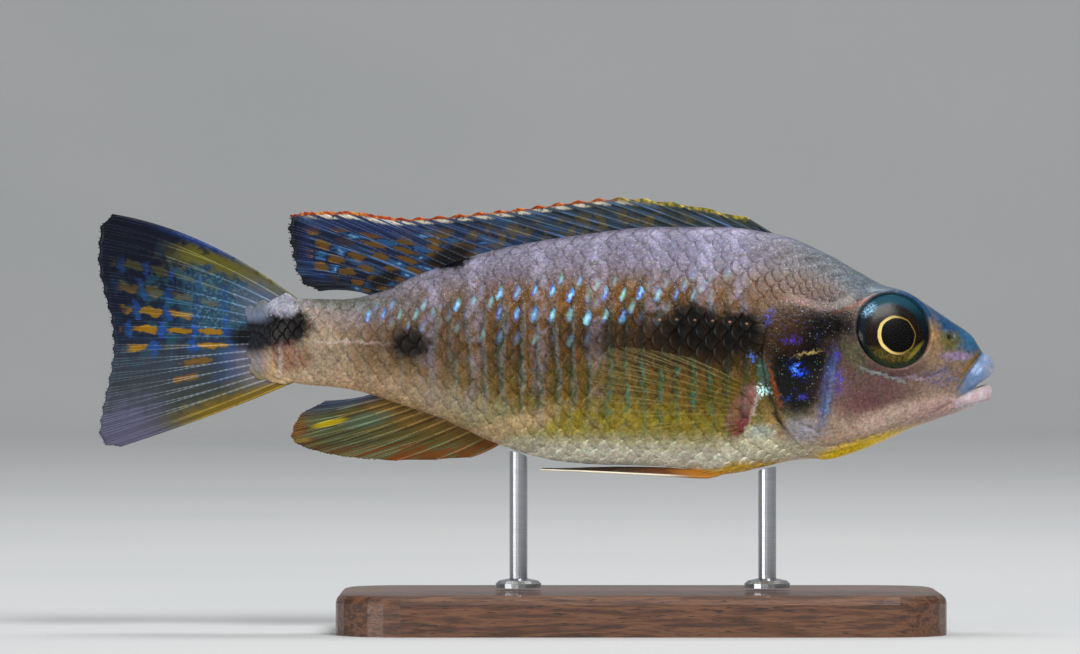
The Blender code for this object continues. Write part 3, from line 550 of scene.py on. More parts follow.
# Patches of colour on the body: (x, z), half sizes along and up, lean in degrees, softness, strength, colour.
# Lean above 0 tips the patch's front end down.
MARKINGS = {
    "rusty flank": ((-7, 38.2), (25, 5.0), 2, 0.6, 0.75, "523f26"),
    "flank front rust": ((-6, 41.0), (14, 2.0), 0, 0.6, 0.6, "6c4614"),
    "dark flank": ((-1, 33.6), (21, 4.6), 1, 0.6, 0.85, "302310"),
    "olive flank": ((2, 29.3), (16, 4.6), 0, 0.5, 0.85, "4c4410"),
    "yellow lower flank": ((0, 24.7), (18, 3.0), 3, 0.6, 0.88, "8c7e14"),
    "lilac back": ((-2, 46.8), (24, 3.0), -7, 0.6, 0.4, "706c86"),
    "lilac shoulder": ((9.5, 46.4), (10, 3.4), 0, 0.6, 0.45, "706e88"),
    "rust shoulder": ((13.0, 41.6), (6.5, 2.4), 0, 0.6, 0.6, "6a4e34"),
    "dusky shoulder": ((3.0, 35.8), (11.0, 4.0), 4, 0.5, 0.75, "1e140a"),
    "shoulder shade": ((7.6, 33.6), (7.6, 2.2), 0, 0.7, 0.65, "1a1006"),
    "shoulder bar": ((8.6, 36.4), (7.0, 2.4), 0, 0.5, 0.92, "060302"),
    "shoulder blotch rear": ((6.2, 37.9), (2.9, 2.8), 0, 0.4, 0.96, "030202"),
    "shoulder blotch front": ((12.4, 37.0), (2.2, 2.4), 0, 0.4, 0.96, "030202"),
    "stalk": ((-40.5, 35.0), (4.6, 4.6), 0, 0.6, 0.7, "a08e78"),
    "stalk line": ((-35.8, 35.35), (5.4, 0.22), 0, 0.6, 0.45, "b4a49c"),
    "middle spot haze": ((-27.4, 35.2), (5.0, 3.0), 0, 0.7, 0.35, "3c281a"),
    "middle spot": ((-28.0, 35.2), (2.7, 2.0), 0, 0.5, 0.98, "060303"),
    "tail spot": ((-44.9, 36.7), (4.6, 2.1), -4, 0.3, 0.98, "040303"),
    "tail spot front": ((-42.4, 37.4), (2.1, 1.9), 0, 0.4, 0.96, "060404"),
    "tail red": ((-42.9, 33.6), (2.3, 1.7), 0, 0.5, 0.6, "6a3626"),
    "tail arc": ((-44.3, 32.8), (0.4, 1.6), 8, 0.6, 0.6, "b8aca0"),
    "tail white": ((-43.9, 39.9), (1.9, 1.2), 0, 0.5, 0.75, "9c9cac"),
    "stalk top": ((-37.0, 40.5), (5.0, 0.9), 0, 0.6, 0.7, "5c6050"),
    "back blotch front": ((-23.0, 45.6), (2.3, 1.2), -22, 0.35, 0.98, "030202"),
    "back blotch rear": ((-31.2, 42.9), (2.0, 1.1), -24, 0.35, 0.98, "030202"),
    "pale belly": ((0, 21.0), (24, 2.2), 0, 0.85, 0.92, "d8d6c2"),
    "belly peach": ((-18, 24.4), (8, 1.3), -20, 0.6, 0.55, "c4a480"),
    "gold belly edge": ((12.4, 19.6), (6.8, 1.0), -7, 0.5, 0.92, "e0b010"),
    "breast": ((15.5, 23.0), (4.2, 1.9), 0, 0.6, 0.85, "c8c2a4"),
    "nape grain": ((20.5, 44.0), (6.5, 3.2), 25, 0.6, 0.75, "66605e"),
    "nape rust": ((19.0, 41.8), (5.0, 1.8), 5, 0.6, 0.6, "5c4030"),
    "forehead": ((27.0, 42.9), (6.5, 1.8), 30, 0.5, 0.7, "585e62"),
    "snout blue": ((37.2, 38.6), (6.8, 1.7), 37, 0.45, 0.95, "1e4468"),
    "snout teal": ((40.2, 35.6), (1.6, 1.9), 55, 0.5, 0.8, "2c5c7c"),
    "brow line rear": ((20.6, 40.0), (3.4, 0.3), 14, 0.7, 0.7, "80503e"),
    "brow line front": ((26.0, 39.9), (2.9, 0.3), -24, 0.7, 0.7, "80503e"),
    "temple haze": ((22.0, 36.8), (5.6, 3.6), 0, 0.6, 0.75, "241612"),
    "temple blotch": ((22.6, 37.4), (3.2, 1.6), 0, 0.5, 0.95, "070404"),
    "gill cover dark": ((19.3, 31.8), (3.6, 5.6), 4, 0.3, 0.97, "040607"),
    "gill cover brown": ((17.6, 36.8), (2.4, 2.6), 20, 0.6, 0.6, "38200f"),
    "gill cover gold": ((20.3, 34.1), (1.5, 0.16), -12, 0.7, 0.85, "a08850"),
    "gill cover lilac": ((19.8, 24.6), (2.7, 1.4), 0, 0.6, 0.8, "94909c"),
    "cheek edge silver": ((22.8, 29.6), (0.8, 4.2), 10, 0.6, 0.8, "2c4a80"),
    "cheek edge streak": ((23.0, 29.2), (0.24, 3.4), 10, 0.6, 0.5, "6c8cb4"),
    "gill rim orange": ((16.3, 29.9), (0.26, 3.2), -17, 0.6, 0.8, "74340c"),
    "gill rim gold": ((16.4, 25.5), (0.9, 2.6), -32, 0.6, 0.6, "96703a"),
    "shoulder teal": ((14.9, 31.6), (0.6, 1.6), -8, 0.6, 0.6, "34645c"),
    "cheek mauve": ((28.5, 29.2), (5.6, 2.8), 8, 0.6, 0.85, "583e3c"),
    "cheek rose": ((27.0, 27.6), (3.0, 1.6), 0, 0.7, 0.5, "5c3038"),
    "cheek peach": ((30.0, 25.4), (8.0, 1.8), -16, 0.6, 0.85, "a88e7c"),
    "cheek low pale": ((31.0, 26.2), (5.0, 1.3), -18, 0.6, 0.5, "c4ac9c"),
    "cheek olive": ((26.2, 33.6), (1.1, 2.4), -30, 0.6, 0.7, "4c4c34"),
    "cheek line": ((29.6, 31.4), (2.4, 0.22), 18, 0.7, 0.85, "909c9e"),
    "cheek line front": ((33.6, 31.1), (2.4, 0.22), 2, 0.7, 0.8, "94808e"),
    "snout tan": ((35.8, 35.2), (1.0, 2.8), 0, 0.6, 0.85, "967650"),
    "snout side": ((37.4, 32.4), (3.4, 2.2), 20, 0.7, 0.7, "7c6856"),
    "snout violet": ((38.6, 33.7), (1.7, 0.5), 0, 0.6, 0.8, "84708e"),
    "snout olive": ((38.0, 35.6), (1.3, 1.1), 0, 0.5, 0.8, "57541e"),
    "lip groove gold": ((40.2, 32.2), (0.35, 2.3), 31, 0.5, 0.9, "80622a"),
    "jaw rose": ((37.0, 27.2), (4.8, 1.4), -16, 0.5, 0.9, "ae8e88"),
    "chin white": ((40.9, 28.3), (2.4, 1.2), -20, 0.5, 0.9, "c0b2b4"),
    "throat yellow": ((27.2, 22.1), (8.6, 1.35), -17, 0.45, 0.97, "f2cc00"),
    "pectoral root": ((12.4, 27.4), (1.45, 3.2), 24, 0.22, 0.95, "7a5250"),
    "pectoral root red": ((12.1, 25.3), (0.75, 1.6), 24, 0.5, 0.85, "6c1828"),
    # A painted highlight: a pale line along the front edge of the pectoral fin's root.
    "pectoral root painted highlight": ((13.9, 27.6), (0.25, 2.8), 20, 0.6, 0.7, "a89c90"),
    "pectoral root white": ((14.6, 24.5), (1.6, 0.9), 0, 0.5, 0.85, "9ea498"),
}
# Patches of close, bright flecks: (x, z), half sizes, lean, strength, colour.
SPARKLES = {
    "gill cover blue haze": ((19.2, 32.1), (1.4, 0.9), 38, 0.8, "0c1c60"),
    "gill cover blue": ((19.2, 31.9), (0.95, 0.6), 38, 1.4, "1c48e0"),
    "gill cover blue core": ((18.8, 32.2), (0.45, 0.4), 38, 1.4, "5090ff"),
    "gill cover blue low": ((17.8, 28.6), (0.4, 0.35), 0, 1.2, "2054c8"),
    "gill cover violet low": ((19.8, 28.7), (0.5, 0.35), 0, 1.0, "3c349c"),
    "gill cover violet": ((18.4, 35.7), (1.0, 0.5), 0, 0.9, "4430a0"),
    "cheek violet": ((24.2, 30.6), (0.5, 1.4), 5, 1.0, "4436a8"),
    "cheek spot": ((24.0, 33.7), (0.45, 0.6), 0, 1.0, "3c36a8"),
    "shoulder turquoise": ((15.0, 29.6), (0.85, 0.55), 10, 1.5, "bcf0ec"),
    "shoulder blue": ((13.6, 33.6), (0.45, 0.6), 0, 1.0, "3868b8"),
    "nape blue": ((15.7, 38.6), (0.5, 1.0), 25, 0.8, "4858b8"),
    "snout blue": ((36.8, 31.2), (1.8, 1.2), 0, 0.7, "384880"),
}
# The flank's upright columns of colour are this far apart.
COLUMN_STEP = 2.1
# Paler bars down the flank, by x.
PALE_BARS = [-25.5, -20.2, -12.3, -5.3, 2.0, 7.9, 12.1]


def ground_colour(graph, x, rise):
    """Ground colours from the belly up, run together from the tail over the flank to the head."""
    rear = graph.blend(rise, [(0.0, "a88a64"), (0.14, "9a8064"), (0.35, "705a40"),
                              (0.6, "6c5744"), (0.8, "7c7274"), (1.0, "84828e")])
    front = graph.blend(rise, [(0.0, "9a9070"), (0.12, "8c8c78"), (0.3, "5c5218"),
                               (0.55, "3e301c"), (0.8, "665854"), (1.0, "7c7886")])
    head = graph.blend(rise, [(0.0, "a88648"), (0.15, "947e6c"), (0.45, "5c4640"),
                              (0.75, "5c5248"), (1.0, "42627a")])
    colour = graph.mix(graph.rise(x, -34, -12), rear, front)
    return graph.mix(graph.rise(x, 13, 24), colour, head)


def pale_bars(graph, colour, place, spot, rise, bright):
    """Paler bars down the flank, at the front over its upper part alone."""
    bars = 0.0
    for bar in PALE_BARS:
        away = graph.math("ABSOLUTE", graph.minus(graph.part(place, 0), bar))
        bars = graph.plus(bars, graph.rise(away, 1.7, 0.2))
    veiled = graph.times(bars, graph.rise(graph.noise(spot, 0.7, 3.0, 0.6), 0.35, 0.6))
    reaching = graph.math("MAXIMUM", graph.rise(rise, 0.5, 0.66), graph.rise(graph.part(spot, 0), 0.0, -5.0))
    high = graph.scaled(graph.rise(rise, 0.1, 0.9), 0.4, 0.12)
    return graph.lay(colour, "9c98b0", veiled, reaching, bright, high)


def flank_columns(graph, colour, spot, rise, flank, bright):
    """Upright columns down the flank, one to a row of scales: rust, dark, green and pale by turns."""
    x = graph.part(spot, 0)
    drift = graph.noise(graph.stretched(spot, (0.25, 0.25, 0.1)), 1.0, 2.0)
    column = graph.math("FRACT", graph.scaled(x, 1 / COLUMN_STEP, graph.times(drift, 1.4)))
    tone = graph.blend(column, [(0.0, "704816"), (0.35, "664414"), (0.6, "241a0e"),
                                (0.8, "2c483a"), (1.0, "704816")])
    broken = graph.noise(graph.stretched(spot, (1.6, 0.7, 0.7)), 1.0, 3.0, 0.7)
    middle = graph.times(flank, graph.window(rise, 0.16, 0.74, 0.12))
    middle = graph.times(middle, graph.scaled(graph.rise(x, -32, -14), 0.7, 0.3))
    shown = graph.scaled(bright, 0.58, 0.04)
    colour = graph.lay(colour, tone, middle, graph.rise(broken, 0.36, 0.6), shown)
    between = graph.times(middle, bright, graph.window(column, 0.68, 0.96, 0.16))
    pale = graph.times(between, graph.rise(x, -3.0, -9.0), graph.rise(broken, 0.62, 0.44))
    colour = graph.lay(colour, "8c8280", pale, 0.34)
    green = graph.times(between, graph.window(x, -4.5, 9.5, 2.0), graph.rise(rise, 0.5, 0.4))
    return graph.lay(colour, "30705c", green, graph.rise(broken, 0.42, 0.6), 0.6)


def bright_flecks(graph, colour, spot, rise):
    """Tiny bright flecks on the gill cover and cheek."""
    x = graph.part(spot, 0)
    distance, chance, hue = graph.cells(spot, 3.2)
    fleck = graph.times(graph.rise(distance, 0.34, 0.16), graph.rise(chance, 0.45, 0.75))
    area = graph.times(graph.rise(x, 13.5, 16.0), graph.rise(x, 33.0, 25.0))
    area = graph.times(area, graph.window(rise, 0.2, 0.72, 0.1))
    tone = graph.blend(hue, [(0.1, "2c3ca8"), (0.35, "4c3a7c"), (0.55, "2c7c6c"),
                             (0.8, "8c8450"), (1.0, "8a9ab8")])
    return graph.lay(colour, tone, area, fleck, 0.6)


def pale_dust(graph, colour, spot, rise, bright):
    """Dust of pale flecks over the back, nape and flank."""
    distance, chance, hue = graph.cells(spot, 4.6)
    dust = graph.times(graph.rise(distance, 0.5, 0.2), graph.rise(chance, 0.5, 0.8))
    tone = graph.blend(hue, [(0.1, "b8a890"), (0.5, "b4b0c4"), (0.9, "d0d0dc")])
    dusted = graph.scaled(graph.rise(rise, 0.55, 0.8), 0.26, 0.08)
    dusted = graph.times(dusted, graph.rise(graph.part(spot, 0), 31.0, 22.0))
    return graph.lay(colour, tone, dust, dusted, bright)


def markings_group(patch):
    """The colours painted on skin and scales alike, by the place on the body in millimetres."""
    graph, given, out = new_group("Fish markings", [
        ("Place", "vector", (0, 0, 0)), ("Rise", "value", 0.5)],
        [("Colour", "colour"), ("Wet", "value"), ("Metal", "value")])
    spot, rise = given["Place"], given["Rise"]
    x = graph.part(spot, 0)
    flank = graph.rise(x, 15, 12)
    broad = graph.stretched(graph.stray(spot, 0.35, 2.0, 0.5), (2.4, 0, 1.6))
    broad = graph.stretched(broad, graph.grey(flank))
    fine = graph.stretched(graph.stray(spot, 1.7, 4.0, 0.7), (1.7, 0, 1.7))
    place = graph.vector_math("ADD", spot, graph.vector_math("ADD", broad, fine))
    colour = ground_colour(graph, x, rise)
    for centre, halves, lean, softness, strength, tone in MARKINGS.values():
        mask = patch_mask(graph, patch, place, centre, halves, lean, softness)
        colour = graph.lay(colour, tone, mask, strength)
    # The flank's bars, columns and dust leave the black marks as they are.
    bright = graph.rise(graph.node("RGBToBW", {0: colour}).outputs[0], 0.003, 0.03)
    colour = pale_bars(graph, colour, place, spot, rise, bright)
    colour = flank_columns(graph, colour, spot, rise, flank, bright)
    colour = bright_flecks(graph, colour, spot, rise)
    colour = pale_dust(graph, colour, spot, rise, bright)
    speck = graph.rise(graph.noise(spot, 3.4, 2.0, 0.6), 0.44, 0.6)
    for centre, halves, lean, strength, tone in SPARKLES.values():
        mask = patch_mask(graph, patch, place, centre, halves, lean, 0.7)
        amount = graph.math("MINIMUM", graph.times(mask, speck, strength), 1.0)
        colour = graph.mix(amount, colour, tone)
    # Fine speckle of light and hue.
    grain = graph.noise(spot, 2.7, 3.0, 0.75)
    coarse = graph.noise(spot, 0.9, 2.0, 0.5)
    light = graph.times(graph.scaled(grain, 2.3, -0.15), graph.scaled(coarse, 0.6, 0.7))
    hue = graph.stretched(graph.stray(spot, 1.9, 2.0, 0.6), (0.5, 0.25, 0.6))
    colour = graph.mix(1.0, colour, graph.vector_math("ADD", graph.grey(light), hue), "MULTIPLY")
    graph.put(out["Colour"], colour)
    graph.put(out["Wet"], graph.scaled(grain, 0.24, 0.2))
    graph.put(out["Metal"], graph.times(graph.rise(rise, 0.1, 0.9), 0.12))
    return graph.tree


def grain_group():
    """Fine uneven relief of painted skin, as a height."""
    graph, given, out = new_group("Fine grain", [
        ("Place", "vector", (0, 0, 0)), ("Fineness", "value", 4.0), ("Depth", "value", 0.05)],
        [("Height", "value")])
    fine = graph.node("TexNoise", {"Vector": given["Place"], "Scale": given["Fineness"], "Detail": 3.0})
    graph.put(out["Height"], graph.times(fine.outputs["Fac"], given["Depth"]))
    return graph.tree


def new_material(name):
    material = bpy.data.materials.new(name)
    material.use_nodes = True
    graph = Graph(material.node_tree)
    return material, graph, material.node_tree.nodes["Principled BSDF"]


def set_bump(graph, shader, height):
    """Fine relief from a height in millimetres."""
    bump_node = graph.node("Bump", {"Height": height, "Distance": MM, "Strength": 1.0})
    graph.put(shader.inputs["Normal"], bump_node.outputs["Normal"])


def skin_material(groups):
    material, graph, shader = new_material("painted_skin")
    place = graph.place()
    marks = graph.group(groups["markings"], {"Place": place, "Rise": graph.value_of("rise")})
    # The inside of the mouth is its own reddish flesh, darkened as painted shade.
    colour = graph.mix(graph.value_of("mouth_inside"), marks["Colour"], "3a1a18")
    # Painted shade: the nostrils' pits are darkened to near black.
    colour = graph.mix(graph.value_of("nostril_shade"), colour, "0c0a0a")
    streak = graph.noise(place, 1.3, 3.0, 0.65)
    forward = graph.scaled(streak, 4.4, graph.minus(graph.part(place, 0), 2.2))
    blue = graph.blend(graph.over(graph.minus(forward, 38.5), 5.5), [
        (0.0, "7c7470"), (0.3, "506e94"), (0.55, "7088ac"), (0.8, "9098b0"), (1.0, "b8b8c8")])
    colour = graph.lay(colour, blue, graph.value_of("upper_lip"), 0.88)
    pink = graph.mix(graph.rise(streak, 0.4, 0.6), "b09498", "c0b4bc")
    colour = graph.lay(colour, pink, graph.value_of("lower_lip"), 0.85)
    # Painted shade: the head's creases, grooves and gill slit are darkened.
    colour = graph.mix(graph.value_of("crease_shade"), colour, "1c1512")
    height = graph.group(groups["grain"], {"Place": place, "Fineness": 3.0, "Depth": 0.06})["Height"]
    graph.look(shader, colour=colour, roughness=marks["Wet"], metallic=marks["Metal"], specular=0.12,
               coat=0.08, coat_roughness=0.12)
    set_bump(graph, shader, height)
    return material


def spot_reach(graph, along, across, tint):
    """The distance from a scale's bright spot, which sits behind the scale's middle. No two are alike.

    The spot is taller than wide and its top leans forward.
    """
    size = graph.scaled(graph.math("FRACT", graph.times(tint, 5.0)), 0.5, 0.75)
    shift = graph.scaled(graph.math("FRACT", graph.times(tint, 11.0)), 0.5, -0.25)
    raised = graph.plus(across, shift)
    behind = graph.scaled(raised, -0.3, graph.plus(along, 0.36))
    spot_along = graph.over(graph.times(behind, 4.6), size)
    spot_across = graph.over(graph.times(raised, 1.65), size)
    return graph.length(spot_along, spot_across)


def scale_material(groups):
    """Skin colours again, with painted shade over each scale's root, where the scale ahead lies on it, a
    painted highlight along its pale free edge, and the bright spots of single scales.
    """
    material, graph, shader = new_material("painted_scales")
    place = graph.place()
    marks = graph.group(groups["markings"], {"Place": place, "Rise": graph.value_of("rise")})
    along, across = graph.value_of("along"), graph.value_of("across")
    shine, tint = graph.value_of("shine"), graph.value_of("tint")
    reach = graph.length(along, across)
    # Painted light on each scale: a painted highlight round its edge, and painted shade over its root under
    # the scale ahead.
    edge = graph.rise(reach, 0.78, 0.98)
    root = graph.rise(along, -0.05, 0.5)
    light = graph.scaled(edge, 0.12, graph.scaled(root, -0.1, 0.92))
    colour = graph.shaded(marks["Colour"], graph.scaled(tint, 0.22, light))
    frayed = graph.scaled(graph.noise(place, 2.4, 2.0, 0.6), 1.6, -0.8)
    from_spot = graph.plus(spot_reach(graph, along, across, tint), frayed)
    # The pale core of each bright spot is a painted highlight.
    core = graph.times(graph.rise(from_spot, 0.75, 0.1), shine)
    spot = graph.times(graph.rise(from_spot, 1.35, 0.55), shine)
    hue = graph.noise(place, 0.5, 1.0)
    bright = graph.blend(hue, [(0.38, "2c52ac"), (0.48, "4688c4"), (0.56, "74b4c4"), (0.66, "5a9c88")])
    colour = graph.mix(spot, colour, bright)
    colour = graph.lay(colour, "c8ecf4", core, 0.45)
    from_pore = graph.length(graph.scaled(along, 6.0, 1.8), graph.scaled(across, 8.0, 1.6))
    pore = graph.times(graph.value_of("line_pore"), graph.rise(from_pore, 0.85, 0.4))
    colour = graph.lay(colour, "a87858", pore, graph.scaled(tint, 0.4, 0.5))
    # The scales on the tail fin's root take the fin's own tones.
    level = graph.over(graph.minus(graph.part(place, 2), 30.0), 12.0)
    fin_tone = graph.blend(level, [(0.0, "6c6428"), (0.25, "7c7474"), (0.42, "14161c"),
                                   (0.62, "10141c"), (0.72, "646c80"), (0.95, "5c6450")])
    rearwards = graph.rise(graph.scaled(frayed, 1.2, graph.part(place, 0)), -44.6, -46.9)
    colour = graph.mix(rearwards, colour, fin_tone)
    metal = graph.math("MAXIMUM", marks["Metal"], graph.times(spot, 0.6))
    graph.look(shader, colour=colour, roughness=marks["Wet"], metallic=metal, specular=0.12, coat=0.06,
               coat_roughness=0.14)
    ridges = graph.math("SINE", graph.times(reach, 44.0))
    grain = graph.group(groups["grain"], {"Place": place, "Fineness": 5.0, "Depth": 0.04})
    height = graph.plus(graph.times(ridges, 0.007), grain["Height"])
    set_bump(graph, shader, height)
    return material


# How far the middle of a lip lies inside its line, as a share of its half thickness.
LIP_SINK = 0.35


def along_lip(line, steps):
    """Places along a lip from corner to corner: the turn round the snout, x, y, z and the size there."""
    front, corner, front_size, corner_size = (Vector(pair) for pair in line)
    corner_width = float(flank_width(corner.x, corner.y))
    for j in range(steps + 1):
        turn = math.pi * (j / steps - 0.5)
        share = math.cos(turn)
        x, z = corner.lerp(front, share)
        yield turn, x, corner_width * math.sin(turn), z, corner_size.lerp(front_size, share)


def lip(line, steps=40, sides=24):
    """Points and faces of one lip: a tube round the snout from corner to corner of the mouth."""
    points = []
    for turn, x, y, z, size in along_lip(line, steps):
        share = math.cos(turn)
        sink = LIP_SINK * size.x + 0.55 * (1 - share) ** 4
        out = Vector((share, math.sin(turn), 0))
        middle = Vector((x, y, z)) - out * sink
        for k in range(sides):
            around = FULL_TURN * k / sides
            point = middle + out * size.x * math.cos(around)
            point.z += size.y * math.sin(around)
            points.append(point)
    return np.array(points), tube_faces(steps + 1, sides)


def make_body_form():
    """The closed body with lips and gape, before its relief."""
    places = np.concatenate([np.arange(-45.4, 40.0, 0.4), np.arange(40.0, 42.8, 0.15), [42.8]])
    sides = 180
    turns = FULL_TURN * np.arange(sides) / sides
    y, z = section(places[:, None], turns[None, :])
    points = np.stack([np.broadcast_to(places[:, None], y.shape), y, z], -1).reshape(-1, 3)
    body = mesh_piece("skin", points, tube_faces(len(places), sides))
    turn_out(body)
    count = len(MOUTH_GAPE)
    gape_points = [(x, y, z) for y in (-8, 8) for x, z in MOUTH_GAPE]
    gape_faces = [tuple(range(count)), tuple(range(2 * count - 1, count - 1, -1))]
    gape_faces += [(k, count + k, count + (k + 1) % count, (k + 1) % count) for k in range(count)]
    combine(body, "DIFFERENCE", gape_points, gape_faces)
    combine(body, "UNION", *lip(UPPER_LIP))
    combine(body, "UNION", *lip(LOWER_LIP))
    modify(body, "REMESH", mode="VOXEL", voxel_size=SKIN_VOXEL * MM, use_smooth_shade=True)
    modify(body, "SMOOTH", factor=0.5, iterations=4)
    x = point_array(body)[:, 0]
    mouth = body.vertex_groups.new(name="mouth")
    share = smooth_step(37.0, 38.5, x)
    for level in np.arange(1, 6) / 5:
        chosen = np.nonzero(np.abs(share - level) < 0.1)[0]
        mouth.add(chosen.tolist(), float(level), "REPLACE")
    modify(body, "SMOOTH", factor=0.5, iterations=14, vertex_group="mouth")
    return body


def rounded(line, times=3):
    """A line of points with its corners cut, again and again, into a curve between the same ends."""
    line = [np.array(point, float) for point in line]
    for _ in range(times):
        cut = [line[0]]
        for a, b in zip(line, line[1:]):
            cut += [0.75 * a + 0.25 * b, 0.25 * a + 0.75 * b]
        line = cut[:1] + cut[2:-1] + [line[-1]]
    return line


def along_line(x, z, line):
    """The distance from points to a line of (x, z) places, and each one's share of the way along the line."""
    best = np.full(x.shape, 1e9)
    share = np.zeros(x.shape)
    count = len(line) - 1
    for k in range(count):
        (x0, z0), (x1, z1) = line[k], line[k + 1]
        dx, dz = x1 - x0, z1 - z0
        t = np.clip(((x - x0) * dx + (z - z0) * dz) / (dx * dx + dz * dz), 0, 1)
        away = np.hypot(x - x0 - t * dx, z - z0 - t * dz)
        closer = away < best
        best = np.where(closer, away, best)
        share = np.where(closer, (k + t) / count, share)
    return best, share


def scaled_area(x, z):
    """1 where the body bears scales: behind the gill cover, and over the nape as far as the eyes' rear."""
    behind = 1 - smooth_step(-0.5, 0.1, x - gill_edge(z))
    nape = smooth_step(-0.9, 0.9, z - nape_foot(x)) * (1 - smooth_step(-0.5, 0.8, x - NAPE_FRONT))
    return np.maximum(behind, nape)


# Shallow grooves of the head as (line of (x, z), depth, width).
GROOVES = {
    "upper lip": ([(42.0, 34.4), (41.2, 33.3), (40.0, 31.7), (38.9, 29.9), (38.0, 28.5)], 0.34, 0.32),
    "cheek": ([(26.0, 31.8), (29.6, 31.3), (33.4, 30.8), (36.6, 31.6), (39.2, 33.0)], 0.1, 0.3),
    "jaw": ([(38.3, 28.3), (37.0, 27.3), (35.4, 26.4)], 0.16, 0.3),
    "gill cover low": ([(15.6, 28.2), (19.0, 25.6), (23.0, 24.2)], 0.12, 0.25),
    "throat one": ([(19.5, 23.0), (24.0, 22.6), (29.0, 24.2), (34.0, 26.3)], 0.1, 0.22),
    "throat two": ([(20.5, 21.9), (24.5, 21.9), (30.0, 23.9)], 0.08, 0.2),
}


def gill_cover_relief(x, z):
    """Height of the gill cover, which stands out at its rear edge before a slit, and the painted shade that
    darkens the slit.
    """
    ahead = x - gill_edge(z)
    window = span(z, 23, 26, 32.5, 39.2)
    lower = 1 - smooth_step(21, 27, z)
    step = smooth_step(-0.16, 0.12, ahead)
    cover = 0.4 * (window + 0.6 * lower * (1 - smooth_step(24, 27, x)))
    cover = cover * step * (1 - smooth_step(0.3, 6, ahead))
    slit = bump(ahead + 0.3, 0.28) * np.clip(2 * window + lower * (1 - smooth_step(24, 27, x)), 0, 1)
    return cover - 0.3 * slit, 0.8 * slit


def cheek_relief(x, z):
    """Height of the cheek's edge: a low step with a groove behind it."""
    past = x - cheek_edge(z)
    step = 0.12 * smooth_step(-0.5, 0.3, past) * (1 - smooth_step(0.3, 3.5, past))
    return span(z, 23, 25, 36.5, 38.5) * (step - 0.1 * bump(past + 0.3, 0.4))


def head_relief(x, z):
    """How far the head's skin stands out from the plain form, the painted shade in its creases, and the
    painted shade of the nostrils.
    """
    height, crease_shade = gill_cover_relief(x, z)
    height += cheek_relief(x, z)
    for line, depth, width in GROOVES.values():
        away, share = along_line(x, z, rounded(line))
        fade = span(share, 0, 0.12, 0.85, 1.0)
        height -= depth * bump(away, width) * fade
        # Each groove is darkened as well, as painted shade.
        crease_shade = np.maximum(crease_shade, 1.6 * depth * bump(away, width * 0.6) * fade)
    from_nostril = np.hypot(x - NOSTRIL[0], z - NOSTRIL[1])
    height += 0.06 * bump(from_nostril - 0.6, 0.25) - 0.4 * bump(from_nostril, 0.32)
    return height, np.clip(crease_shade, 0, 1), bump(from_nostril, 0.34)


def on_flank(x, z, side):
    """The point of the skin at x and z, on one side."""
    return np.array((x, side * flank_width(x, z), z))


def eye_frame(side):
    """The middle of the eye at the skin and its directions: towards the nose, up and out of the head."""
    x, z = EYE_CENTRE
    reach = 1.2
    here, ahead, above = (on_flank(x + a, z + b, side) for a, b in ((0, 0), (reach, 0), (0, reach)))
    forward = unit(ahead - here)
    out = unit(np.cross(forward, above - here)) * -side
    upward = np.cross(out, forward) * side
    return here, forward, upward * np.sign(upward[2]), out


def orbit(points):
    """Gives the skin its eye sockets: a hollow within the eye's edge and a low rim round it."""
    made = points.copy()
    for side in (1, -1):
        centre, forward, upward, out = eye_frame(side)
        away = points - centre
        a, b, c = away @ forward, away @ upward, away @ out
        reach = np.hypot(a, b)
        near = (np.sign(points[:, 1]) == side) & (reach < EYE_OUTER + 3) & (c > -4.5)
        rim = bump(np.maximum(reach - EYE_OUTER - 0.15, 0), 0.75) * (reach > EYE_OUTER - 0.6)
        lift = np.where(c < EYE_RIM_LEVEL, (EYE_RIM_LEVEL - c) * rim * 0.92, 0.1 * rim)
        floor = -2.4 - c
        hollow = 1 - smooth_step(EYE_OUTER - 0.4, EYE_OUTER + 0.05, reach)
        move = lift * (1 - hollow) + floor * hollow
        made += np.where(near, move, 0)[:, None] * out
    return made


def lip_share(points, line):
    """How much of a lip's colour each point takes, by its distance from the lip's middle line."""
    reach = np.full(len(points), 9.0)
    for turn, x, y, z, size in along_lip(line, 32):
        away = points - np.array((x - math.cos(turn) * LIP_SINK * size.x, y, z))
        flat = np.hypot(away[:, 0], away[:, 1]) / (size.x * 1.05)
        reach = np.minimum(reach, np.hypot(flat, away[:, 2] / (size.y * 1.05)))
    return 1 - smooth_step(0.9, 1.25, reach)


